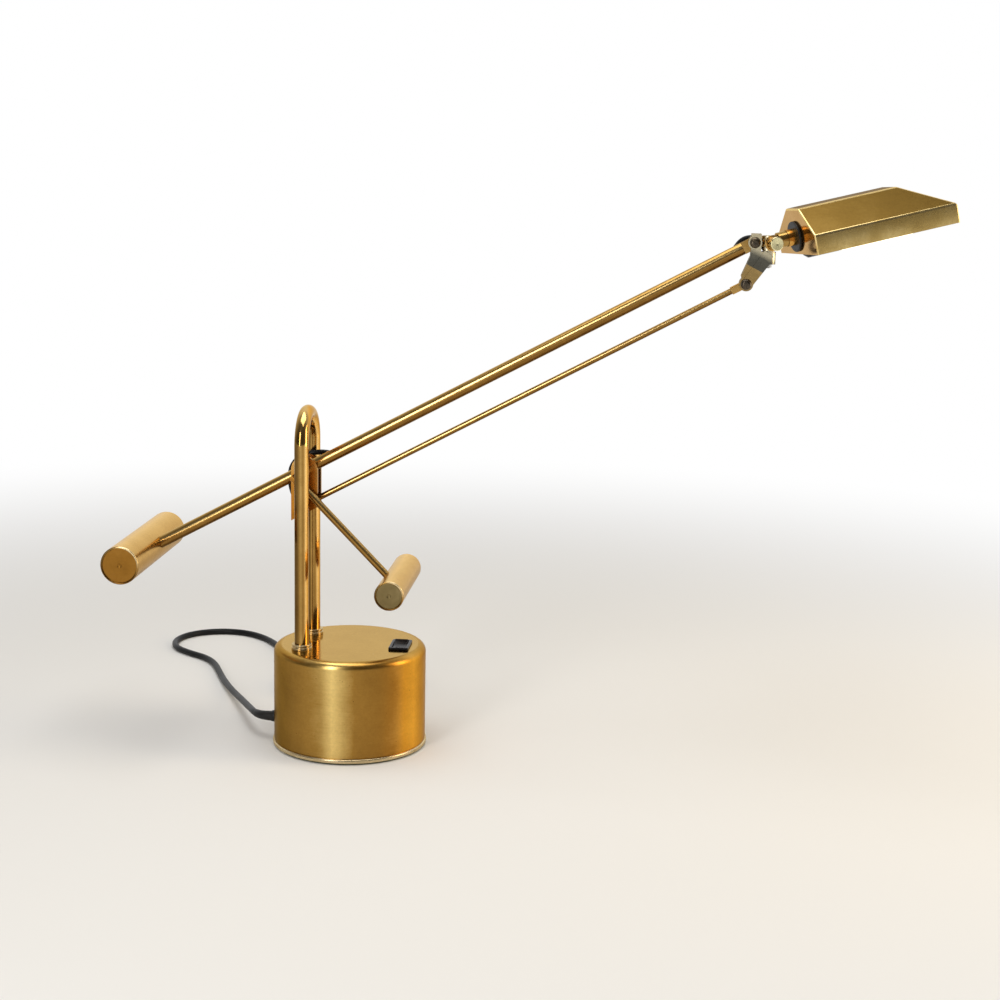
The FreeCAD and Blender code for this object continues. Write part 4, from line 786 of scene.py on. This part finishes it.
# %% Places on the head
pan, tilt, lean = np.radians([19.2, 12.4, 2.2])
out_flat = np.array([math.cos(pan), math.sin(pan), 0])
near_side = np.array([math.sin(pan), -math.cos(pan), 0])
stem_dir = out_flat * math.cos(tilt) + upright * math.sin(tilt)
over = upright * math.cos(tilt) - out_flat * math.sin(tilt)
shade_side = near_side * math.cos(lean) + over * math.sin(lean)
shade_over = over * math.cos(lean) - near_side * math.sin(lean)
swivel_at = head_pivot + [0.0111, 0, 0]
panel_at = swivel_at + stem_dir * 0.0238


def in_head(along, toward=0.0, up=0.0):
    """Place from the middle of the shade's end panel."""
    return panel_at + stem_dir * along + shade_side * toward + shade_over * up


print("stem points", np.round(stem_dir, 3))

# %% [markdown]
# The clamp knob is a small lathe piece with a collar, a groove and a faced end. The washer and the lampholder
# are lathe pieces too, and share the helper.

# %% Knob, washer, stem sleeve and lampholder
knob_line = rounded([(0.00203, 0.007), (0.0064, 0.007), (0.0064, 0.0081), (0.0053, 0.0086), (0.0053, 0.0142),
                     (0.0047, 0.0145), (0.0047, 0.0152), (0.0056, 0.0155), (0.0056, 0.0184), (0.0012, 0.0183),
                     (0, 0.0181)], [0.0003, 0.0003, 0.0002, 0.0001, 0.0001, 0.0001, 0.0001, 0.0006, 0.0002])
knob_line = np.concatenate([[(0, 0.0070)], knob_line])
knob = turned("clamp_knob_turned", knob_line, swivel_at, near_side, brass_small, "clamp_knob", ["clamp_knob"])
knob_face = brass("knob end face", (0.95, 0.86, 0.52), (0.75, 0.66, 0.33), (0.35, 0.27, 0.1), 0.24, 0.15, 90,
                  0.8, 0.3, "round", 0.02, tone=0.75)
knob.data.materials.append(knob_face)
face_from = 0.01795
spots = np.empty(len(knob.data.polygons) * 3)
knob.data.polygons.foreach_get("center", spots)
lift = (spots.reshape(-1, 3) - swivel_at) @ near_side
knob.data.polygons.foreach_set("material_index", (lift > face_from).astype(np.int32))

washer_line = rounded([(0, 0), (0.0125, 0), (0.0125, 0.0022), (0, 0.0022)], [0.0007, 0.0007])
turned("panel_washer_turned", washer_line, in_head(-0.0022), stem_dir, dull_black, "head", ["panel_washer"])
holder_line = rounded([(0, 0.005), (0.0105, 0.005), (0.0125, 0.0075), (0.0125, 0.018), (0.0119, 0.0184),
                       (0.0119, 0.0192), (0.0125, 0.0196), (0.0125, 0.034), (0.0106, 0.034), (0.0106, 0.012),
                       (0, 0.012)], [0.0005, 0.0008, 0.0002, 0.0002, 0.0002, 0.0002, 0.0006, 0.0003, 0.0003])
lamp_at = in_head(0, 0, -0.0065)
turned("lampholder_turned", holder_line, lamp_at, stem_dir, gloss_black, "head", ["lampholder"])
dome = np.linspace(0, math.pi / 2, 9)
bulb_line = np.concatenate([[(0, 0.036), (0.007, 0.036)],
                            np.stack([0.009 + 0.005 * np.sin(dome), 0.041 - 0.005 * np.cos(dome)], -1),
                            np.stack([np.full(14, 0.014), np.linspace(0.043, 0.092, 14)], -1),
                            np.stack([0.014 * np.cos(dome), 0.094 + 0.012 * np.sin(dome)], -1)])
turned("tube_lamp", bulb_line, lamp_at, stem_dir, lamp_glass, "head", ["lamp_bulb"], 64)
print("lamp is", round(2000 * float(bulb_line[:, 0].max())), "mm thick")

# %% [markdown]
# ## Folded shade
#
# The shade is one sheet folded like a long roof: an upright lip, a slope up to a flat ridge, the other slope
# and lip, a hip that comes down at the far end, and an upright panel at the stem. As rows of the same six
# points it is one grid: the panel's foot, the panel's outline, the end of the ridge, the far lip's top and
# the far lip's foot. Bevel then rounds every fold and gives it a brighter finish, partly rubbed wear and
# partly a painted highlight. The lips get a brighter copy of the shade's brass, a painted reflection, and
# Solidify gives the sheet its 0.9 mm.

# %% Shade from five rows
half, ridge_half, ridge_up, eave_up, lip_foot = 0.0385, 0.0125, 0.0226, 0.0011, -0.0145
ridge_long, shade_long, fold_radius, sheet_thick = 0.087, 0.125, 0.0013, 0.0009
across = np.array([half, half, ridge_half, -ridge_half, -half, -half])
section = np.array([lip_foot, eave_up, ridge_up, ridge_up, eave_up, lip_foot])
far_across = np.array([half, half, half, -half, -half, -half])
far_up = np.array([lip_foot, eave_up, eave_up, eave_up, eave_up, lip_foot])
rows = [(0, across, np.full(6, lip_foot)), (0, across, section), (ridge_long, across, section),
        (shade_long, far_across, far_up), (shade_long, far_across, np.full(6, lip_foot))]
shade_grid = np.array([[in_head(along, t, u) for t, u in zip(ts, us)] for along, ts, us in rows])
shade = surface("folded_shade", shade_grid, brass_shade, None, ["shade"], closed=False,
                bands=[(0, 1, brass_panel)])
outward = bmesh.new()
outward.from_mesh(shade.data)
bmesh.ops.dissolve_degenerate(outward, edges=outward.edges, dist=1e-6)
bmesh.ops.recalc_face_normals(outward, faces=outward.faces)
outward.faces.ensure_lookup_table()
roof = max(outward.faces, key=lambda f: float(np.dot(np.array(f.calc_center_median()) - panel_at, shade_over)))
if float(np.dot(np.array(roof.normal), shade_over)) < 0:
    bmesh.ops.reverse_faces(outward, faces=outward.faces)
outward.to_mesh(shade.data)
outward.free()
for extra in (fold_brass_wear_and_highlight, lip_brass_painted_reflection):
    shade.data.materials.append(extra)
main_slot, fold_slot, lip_slot = 0, 2, 3
# The lips get the brighter copy of the shade's brass: a painted reflection.
for face in shade.data.polygons:
    if face.material_index == main_slot and (np.array(face.center) - panel_at) @ shade_over < 0:
        face.material_index = lip_slot
# The folds get a brighter finish: partly rubbed wear, partly a painted highlight.
folds = shade.modifiers.new("folds", "BEVEL")
folds.width, folds.segments, folds.limit_method, folds.angle_limit = fold_radius, 4, "ANGLE", math.radians(25)
folds.material, folds.harden_normals = fold_slot, False
sheet = shade.modifiers.new("sheet", "SOLIDIFY")
sheet.thickness, sheet.offset, sheet.use_even_offset = sheet_thick, -1, True
shade.data.shade_smooth()
crease = shade.modifiers.new("weighted", "WEIGHTED_NORMAL")
crease.keep_sharp = True
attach(shade, "head")
print("shade faces", len(shade.data.polygons))

# %% [markdown]
# ## Rocker switch
#
# The switch is pressed into the crown's window. Its frame is a rounded rectangle that grows and shrinks as it
# goes over the rim, so its rows are rounded rectangles of different sizes. The rocker is the side view of a
# shallow V, carried across its width, with the last rows drawn in to break the edges.

# %% Frame of the switch
def rounded_rectangle(half_x, half_y, corner, count=16):
    """Points round a rectangle whose corners are quarter circles, anticlockwise seen from above."""
    q = np.linspace(0, math.pi / 2, count)
    points = []
    for quarter, (sx, sy) in enumerate(((1, 1), (-1, 1), (-1, -1), (1, -1))):
        a = q + quarter * math.pi / 2
        points.append(np.stack([sx * (half_x - corner) + corner * np.cos(a),
                                sy * (half_y - corner) + corner * np.sin(a)], -1))
    return np.concatenate(points)


frame_rows = [(0.0069, 0.0124, 0.001, 0.0795), (0.0069, 0.0124, 0.001, 0.0879), (0.0085, 0.0145, 0.0018, 0.0880),
              (0.0085, 0.0145, 0.0018, 0.0893), (0.00835, 0.01435, 0.0018, 0.08985), (0.0080, 0.0140, 0.0018, 0.0901),
              (0.0076, 0.0136, 0.0017, 0.0902), (0.0064, 0.0122, 0.0012, 0.0902), (0.0060, 0.0118, 0.001, 0.0900),
              (0.0058, 0.0116, 0.0009, 0.0895), (0.0058, 0.0116, 0.0009, 0.0795), (0.0069, 0.0124, 0.001, 0.0795)]
surface("switch_frame", np.array([at_height(rounded_rectangle(*sizes) + switch_at, z) for *sizes, z in frame_rows]),
        gloss_black, "stand", ["switch_housing"])
print("switch frame has", len(frame_rows), "rows")

# %% Rocker
rocker_pin = np.array([*switch_at, 0.085])
lean_of = 0.0105 * math.tan(math.radians(7))
corners = [(0.0, -0.0042), (0.0093, -0.0005 + lean_of), (0.0099, 0.0040), (0.0090, 0.0058 + lean_of),
           (0.0045, 0.0051 + 0.35 * lean_of), (0, 0.0045), (-0.0045, 0.0044 - 0.35 * lean_of),
           (-0.0104, 0.0058 - lean_of), (-0.0104, 0.0040 - lean_of), (-0.0093, -0.0005 - lean_of), (0.0, -0.0042)]
side_line = rounded(corners, [0.0006, 0.004, 0.0007, 0.03, 0.02, 0.03, 0.0006, 0.002, 0.0006], 5)[:-1]
middle = side_line.mean(axis=0)
spans = [(-0.0055, 0.0), (-0.0055, 0.9), (-0.00543, 0.96), (-0.0052, 0.99), (-0.0049, 1.0), (0.0, 1.0),
         (0.0049, 1.0), (0.0052, 0.99), (0.00543, 0.96), (0.0055, 0.9), (0.0055, 0.0)]
rocker_grid = np.array([np.concatenate([np.full((len(side_line), 1), x),
                                        middle + (side_line - middle) * max(share, 1e-7)], -1) for x, share in spans])
rocker = surface("switch_rocker_moulded", rocker_grid + rocker_pin, gloss_black, "rocker", ["switch_rocker"])
print("rocker", [round(d * 1000, 1) for d in rocker.dimensions])

# %% [markdown]
# ## Mains cord
#
# The cord leaves the drum at the back left, comes down to the floor, turns in a loose loop and ends in a
# neat coil and plug behind the base. It is 1.8 m long, as usual on a desk lamp. A NURBS line led by given
# points bends like rubber does; the coil's turns are more points of the same line, two layers of turns that
# go in and come back out on top.

# %% Cord line
cord_radius, lie = 0.003, 0.00305
cord_exit = (-0.068, 0, 0.0194)
route = [
    cord_exit, (-0.074, 0, 0.0194), (-0.0803, 0.0031, 0.0192), (-0.0858, 0.0096, 0.0187),
    (-0.091, 0.0204, 0.0177), (-0.0985, 0.038, 0.0154), (-0.1083, 0.062, 0.0120), (-0.1205, 0.090, 0.0083),
    (-0.134, 0.120, 0.0052), (-0.148, 0.152, 0.0034), (-0.1594, 0.1806, lie), (-0.1705, 0.208, lie),
    (-0.1845, 0.2265, lie), (-0.2035, 0.2394, lie), (-0.223, 0.257, lie), (-0.231, 0.284, lie),
    (-0.221, 0.311, lie), (-0.195, 0.327, lie), (-0.165, 0.325, lie), (-0.140, 0.306, lie), (-0.121, 0.278, lie),
    (-0.106, 0.247, lie), (-0.095, 0.215, lie), (-0.0878, 0.184, lie)]
coil_at = np.array([-0.045, 0.150])
coil_starts, turn_step = 171.3, 24
turns = np.concatenate([np.arange(coil_starts, 891, turn_step), np.arange(903, 1040, turn_step),
                        np.arange(1047, 2061, turn_step)])
swept_turns = (turns - coil_starts) / 360
wide, tight, upper = 0.0394 / 0.978, 0.027 / 0.978, 0.00915
coil_radius = np.interp(swept_turns, (0, 2.0, 2.4, 4.4, 5.3), (wide, tight, tight, wide, wide))
coil_high = np.interp(swept_turns, (0, 2.0, 2.4, 5.3), (lie, lie, upper, upper))
coil = np.stack([coil_at[0] + coil_radius * np.cos(np.radians(turns)),
                 coil_at[1] + coil_radius * np.sin(np.radians(turns)), coil_high], -1)
tail = [(-0.045, 0.1108, upper), (-0.024, 0.1106, 0.0084), (-0.006, 0.116, 0.0072), (0.009, 0.128, 0.0070),
        (0.018, 0.143, 0.0070), (0.018, 0.160, 0.0070)]


def nurbs(name, points, thick=0.0, fine=6):
    """Curve object whose one spline has these control points, of order 3 and ending at its end points."""
    curve = bpy.data.curves.new(name, "CURVE")
    curve.dimensions = "3D"
    curve.bevel_depth, curve.bevel_resolution, curve.use_fill_caps = thick, 5, thick > 0
    curve.resolution_u = curve.render_resolution_u = fine
    spline = curve.splines.new("NURBS")
    spline.points.add(len(points) - 1)
    spline.points.foreach_set("co", np.c_[np.array(points), np.ones(len(points))].ravel())
    spline.order_u = 3
    spline.use_endpoint_u = True
    return placed(name, curve)


def line_points(points):
    """Points read from a NURBS line with no thickness."""
    line = nurbs("line", points, fine=8)
    bpy.context.view_layer.update()
    mesh = bpy.data.meshes.new_from_object(line.evaluated_get(bpy.context.evaluated_depsgraph_get()))
    found = np.array([v.co[:] for v in mesh.vertices])
    bpy.data.objects.remove(line)
    return found


cord = nurbs("mains_lead", route + coil.tolist() + tail, cord_radius)
cord.data.materials.append(cord_black)
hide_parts("mains_cord", "cord_coil", "cord_tail")
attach(cord, "stand")
print("cord has", len(cord.data.splines[0].points), "points")

# %% [markdown]
# The plug is one moulding that starts as a sleeve on the cord and widens to a grip. It is lofted: rounded
# rectangles set along its length. A short tapered sleeve also guards the cord where it leaves the drum.

# %% Plug and sleeve
stations = [(0.1502, 0.0031, 0.0031, 0.00305), (0.1502, 0.0038, 0.0038, 0.0037), (0.1506, 0.0040, 0.0040, 0.0039),
            (0.156, 0.0046, 0.0046, 0.0045), (0.160, 0.0075, 0.0058, 0.0052), (0.1615, 0.0082, 0.0064, 0.0052),
            (0.166, 0.0100, 0.0067, 0.0052), (0.171, 0.0125, 0.0068, 0.0050), (0.176, 0.0152, 0.0068, 0.0045),
            (0.180, 0.0172, 0.0068, 0.0042), (0.184, 0.0174, 0.0068, 0.0040), (0.1863, 0.0173, 0.0067, 0.0040),
            (0.1868, 0.0168, 0.0062, 0.0038), (0.187, 0.0160, 0.0054, 0.0036), (0.187, 0.0004, 0.0004, 0.0002)]
plug_x, plug_z = tail[-1][0], tail[-1][2]
plug_rows = []
for y, half_x, half_z, corner in stations[::-1]:
    edge = rounded_rectangle(half_x, half_z, min(corner, half_x * 0.99, half_z * 0.99), 10)
    plug_rows.append(np.stack([plug_x + edge[:, 0], np.full(len(edge), y), plug_z + edge[:, 1]], -1))
tips = [np.broadcast_to(row.mean(axis=0), row.shape) for row in (plug_rows[0], plug_rows[-1])]
plug = surface("plug_moulded", np.array([tips[0], *plug_rows, tips[1]]), dull_black, "stand", ["plug_body"])

sleeve_line = line_points(route[:5])
sleeve_line = np.concatenate([[[-0.0640, 0, 0.0194]], sleeve_line[distances(sleeve_line) < 0.019]])
sleeve_radius = np.interp(distances(sleeve_line), (0, 0.0035, 0.0045, 0.022), (0.0052, 0.0052, 0.0043, 0.0034))
tube("cord_sleeve", sleeve_line, sleeve_radius, dull_black, "stand", ["cord_gland"], 40)
print("plug", [round(d * 1000) for d in plug.dimensions])

# %% [markdown]
# ## Leads past the joints
#
# Two short leads carry the current past the joints in open loops, so that nothing is pulled when the lamp
# moves. One goes from the stand's leg over the pivot into the arm, the other from the arm into the bracket.
# The first lead is made in two halves that meet in the middle of its line.

# %% Lead from the leg to the arm
def lead(name, line, radius, node):
    """Lead along a line, in place of the frame's node, with its placement baked into its points."""
    piece = tube(name, line, radius, cord_black, None, [node], 24, lip=0.00002)
    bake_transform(piece)


leg_hole, arm_hole = np.array([-0.043, 0.026, 0.203]), on_arm(0.022, 0, 0.005)
loop = [leg_hole + [0.002, 0, 0], leg_hole - [0.005, 0, 0], pivot + [-0.0153, 0.0208, -0.0295],
        pivot + [-0.0172, 0.0154, -0.020], pivot + [-0.0176, 0.0122, -0.0095], pivot + [-0.0158, 0.012, 0],
        pivot + [-0.0095, 0.012, 0.0073], pivot + [-0.0005, 0.012, 0.011], pivot + [0.009, 0.0122, 0.0123],
        [arm_hole[0] - 0.0016, 0.0123, arm_hole[2] + 0.0012], [arm_hole[0], 0.0094, arm_hole[2]],
        [arm_hole[0], 0.0036, arm_hole[2]]]
loop_line = line_points(loop)
halfway = len(loop_line) // 2
lead("lead_from_leg", loop_line[:halfway + 1], 0.00225, "stand_lead")
lead("lead_to_arm", loop_line[halfway:], 0.00225, "stand_lead")

# %% Lead from the arm to the head's bracket
top_hole, seat = on_arm(0.3955, 0, 0.005), swivel_at + [-0.003, 0.006, -0.0122]
past_head = ((-0.0154, 0.013, -0.0056), (-0.011, 0.0136, 0.0006), (-0.005, 0.0136, 0.0034),
             (0.0015, 0.0138, 0.0026), (0.006, 0.0144, -0.0024), (0.0096, 0.0154, -0.0076),
             (0.0146, 0.0162, -0.0106), (0.0156, 0.0166, -0.0148), (0.0126, 0.0168, -0.0184))
hook = [[top_hole[0], 0.0036, top_hole[2]], [top_hole[0], 0.0098, top_hole[2]],
        *(head_pivot + list(place) for place in past_head),
        [seat[0] + 0.0003, 0.016, seat[2] - 0.0054], [seat[0] - 0.0004, 0.0126, seat[2] - 0.0022],
        [seat[0], 0.008, seat[2]], [seat[0], 0.0034, seat[2]]]
hook_line = line_points(hook)
lead("lead_to_head", hook_line, 0.002, "head_lead")

# %% [markdown]
# ## Finishes for the fixed parts
#
# Bracket, link plates, bolts and the pieces inside keep the shapes they have in the frame. They have no map
# of their own, so their finishes read only the position. The bracket's flat bar is painted grey above and
# orange brass below, a painted reflection, so its tone changes along its slant.

# %% Bracket and stem finishes
def banded(material, direction, stops):
    """Drive a brass finish by distance along a direction, through (distance, tone, warmth) stops."""
    tree = material.node_tree
    lowest, span = float(stops[0][0]), float(stops[-1][0] - stops[0][0])
    along = along_direction(add(tree, "TexCoord").outputs["Object"], direction)
    share = step("DIVIDE", plus(along, -lowest), span, clamp=True)
    wear = next(n for n in tree.nodes if n.type == "GROUP")
    for key, column in (("Tone", 1), ("Warmth", 2)):
        table = [((stop[0] - lowest) / span, stop[column]) for stop in stops]
        feed(wear.inputs[key], ramp(share, table, smooth=False))
    return material


# The bracket's grey top and brass foot are a painted reflection, by distance along the bar's slant.
bar_slant = unit((0.45, 0.0, 0.89))
bracket_brass_painted_reflection = banded(brass("bracket brass", (0.84, 0.74, 0.5), (0.13, 0.125, 0.1), (0.06, 0.045, 0.025), 0.25,
                             0.15, 70, 0.08, 0.5, "loose", 0.004, tone=0.5),
                       bar_slant, [(0.500, 0.66, 0.75), (0.5203, 0.72, 0.75), (0.5209, 0.4, 0.0), (0.530, 0.5, 0.0),
                                   (0.5345, 0.86, 0.0), (0.550, 0.9, 0.1)])
reach = float(panel_at @ stem_dir)
stem_brass = banded(brass("stem brass", (0.85, 0.66, 0.32), (0.48, 0.3, 0.09), (0.12, 0.07, 0.02), 0.2, 0.25, 70,
                          0.1, 0.5, "loose", 0.004, tone=0.5),
                    stem_dir, [(reach - 0.03, 0.3, 0.0), (reach - 0.0092, 0.34, 0.0), (reach - 0.0086, 0.15, 0.0),
                               (reach - 0.0080, 0.66, 0.7), (reach, 0.6, 0.7)])
link_brass = banded(brass("link brass", (0.86, 0.64, 0.3), (0.48, 0.27, 0.07), (0.14, 0.06, 0.012), 0.24, 0.3, 60,
                          0.12, 0.5, "loose", 0.006, tone=0.5),
                    upright, [(0.19, 0.3, 0.8), (0.215, 0.42, 0.8), (0.235, 0.5, 0.5), (0.252, 0.66, 0.1)])
print("banded:", bracket_brass_painted_reflection.name, "-", stem_brass.name, "-", link_brass.name)

# %% Give every fixed part its finish
fixed = (
    (felt, "felt_pad"), (terminal_white, "base_fittings"), (stem_brass, "head_stem"),
    (steel, "bottom_plate base_screws base_pillars leg_nuts main_axle pivot_sleeve main_weight_screw "
            "small_weight_screw swivel_fasteners stem_nut lamp_cap"),
    (brass_small, "axle_spacers plug_pins arm_end_eye head_bush tie_rod_ends link_bush"),
    (cast_iron, "ballast main_weight_core small_weight_core"), (dark_steel, "link_rivet joint_bolts"),
    (cord_black, "base_leads arm_lead"), (dull_black, "leg_grommet arm_grommets lampholder_liner"),
    (link_brass, "link_plate_near link_plate_far"), (bracket_brass_painted_reflection, "head_bracket swivel_knuckle"))
for finish, nodes in fixed:
    for node in nodes.split():
        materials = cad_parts[node].data.materials
        materials.clear()
        materials.append(finish)
print(sum(len(nodes.split()) for _, nodes in fixed), "fixed parts finished")

# %% [markdown]
# ## Studio
#
# A plain pale floor and soft light. The floor fades into the white background away from the lamp, so there is
# no horizon, and it keeps the shadow. Polished metal shows its surroundings, so a metal object needs a room
# with light and dark in it: to the camera and through glass the world is white, and a reflection sees that
# white behind the object and a darker room in front of it.

# %% Floor
def mix_shaders(share, a, b):
    """Shader a where share is 0 and b where it is 1."""
    node = add(share.id_data, "MixShader", Fac=share)
    feed(node.inputs[1], a)
    feed(node.inputs[2], b)
    return node.outputs["Shader"]


def floor_material():
    """Pale matt floor that turns into plain white with distance, for rays that show the background."""
    material = bpy.data.materials.new("pale studio floor")
    material.use_nodes = True
    tree = material.node_tree
    shader = tree.nodes["Principled BSDF"]
    for key, value in (("Base Color", (0.8, 0.79, 0.77, 1)), ("Roughness", 0.8), ("Specular IOR Level", 0.1)):
        feed(shader.inputs[key], value)
    white = add(tree, "Emission", Color=(1, 1, 1, 1), Strength=1.0)
    far = add(tree, "VectorMath", operation="LENGTH")
    feed(far.inputs[0], add(tree, "TexCoord").outputs["Object"])
    fade = add(tree, "MapRange", interpolation_type="SMOOTHSTEP", Value=far.outputs["Value"], From_Min=0.35,
               From_Max=1.5)
    ray = add(tree, "LightPath").outputs
    seen = step("MAXIMUM", ray["Is Camera Ray"], step("MAXIMUM", ray["Is Glossy Ray"], ray["Is Transmission Ray"]))
    blend = mix_shaders(times(fade.outputs["Result"], seen), shader.outputs["BSDF"], white.outputs["Emission"])
    feed(tree.nodes["Material Output"].inputs["Surface"], blend)
    return material


radii = np.concatenate([[1e-6], np.linspace(0.2, 12, 20)])
floor_grid = np.array([at_height(radius * compass, 0.0) for radius in radii[::-1]])
floor = placed("floor", bpy.data.meshes.new("floor"))
numbers = np.arange(floor_grid[..., 0].size).reshape(floor_grid.shape[:2])
floor.data.from_pydata(floor_grid.reshape(-1, 3).tolist(), [], quads(numbers).tolist())
floor.data.materials.append(floor_material())
print("floor", round(floor.dimensions.x), "m across")

# %% World
world = bpy.data.worlds.new("studio")
bpy.context.scene.world = world
world.use_nodes = True
tree = world.node_tree
tree.nodes.clear()
behind = along_direction(add(tree, "TexCoord").outputs["Generated"], flat_ahead)
room = ramp(plus(times(behind, 0.5), 0.5), ((0.0, 0.1), (0.32, 0.16), (0.6, 0.5), (0.78, 1.0)))
soft = add(tree, "Background", Color=(1, 0.985, 0.96, 1), Strength=0.42).outputs[0]
mirror = add(tree, "Background", Color=room).outputs[0]
white = add(tree, "Background", Color=(1, 1, 1, 1)).outputs[0]
ray = add(tree, "LightPath").outputs
shown = step("MAXIMUM", ray["Is Camera Ray"], ray["Is Transmission Ray"])
sky = mix_shaders(shown, mix_shaders(ray["Is Glossy Ray"], soft, mirror), white)
feed(add(tree, "OutputWorld").inputs["Surface"], sky)
print("world has", len(tree.nodes), "nodes")

# %% [markdown]
# Three soft lamps: a tall one at the front left, whose reflection adds to the pale streak painted down the
# drum, a warm one at the right, and a wide one above, whose reflection adds to the highlight painted along
# the top of every bar.

# %% Lamps
lamps = (("tall lamp", (-0.55, -1.5, 0.75), (0.0, 0, 0.2), 0.35, 1.2, 9.0, (1.0, 0.97, 0.92)),
         ("warm lamp", (1.35, 0.0, 0.55), (0.0, 0, 0.15), 0.5, 0.9, 7.0, (1.0, 0.8, 0.5)),
         ("overhead lamp", (0.05, -0.1, 1.5), (0.1, 0.0, 0.2), 1.2, 0.9, 11.0, (1.0, 0.99, 0.97)))
for name, place, towards, wide, tall, power, colour in lamps:
    data = bpy.data.lights.new(name, "AREA")
    data.shape, data.size, data.size_y, data.energy, data.color = "RECTANGLE", wide, tall, power, colour
    lamp = placed(name, data)
    lamp.location = place
    lamp.rotation_euler = (Vector(place) - Vector(towards)).to_track_quat("Z", "Y").to_euler()
print(len(lamps), "soft lamps")

# %% [markdown]
# The view transform is Standard, so the picture gets no change of contrast.

# %% Finish
bpy.context.scene.view_settings.view_transform = "Standard"
bpy.context.view_layer.update()
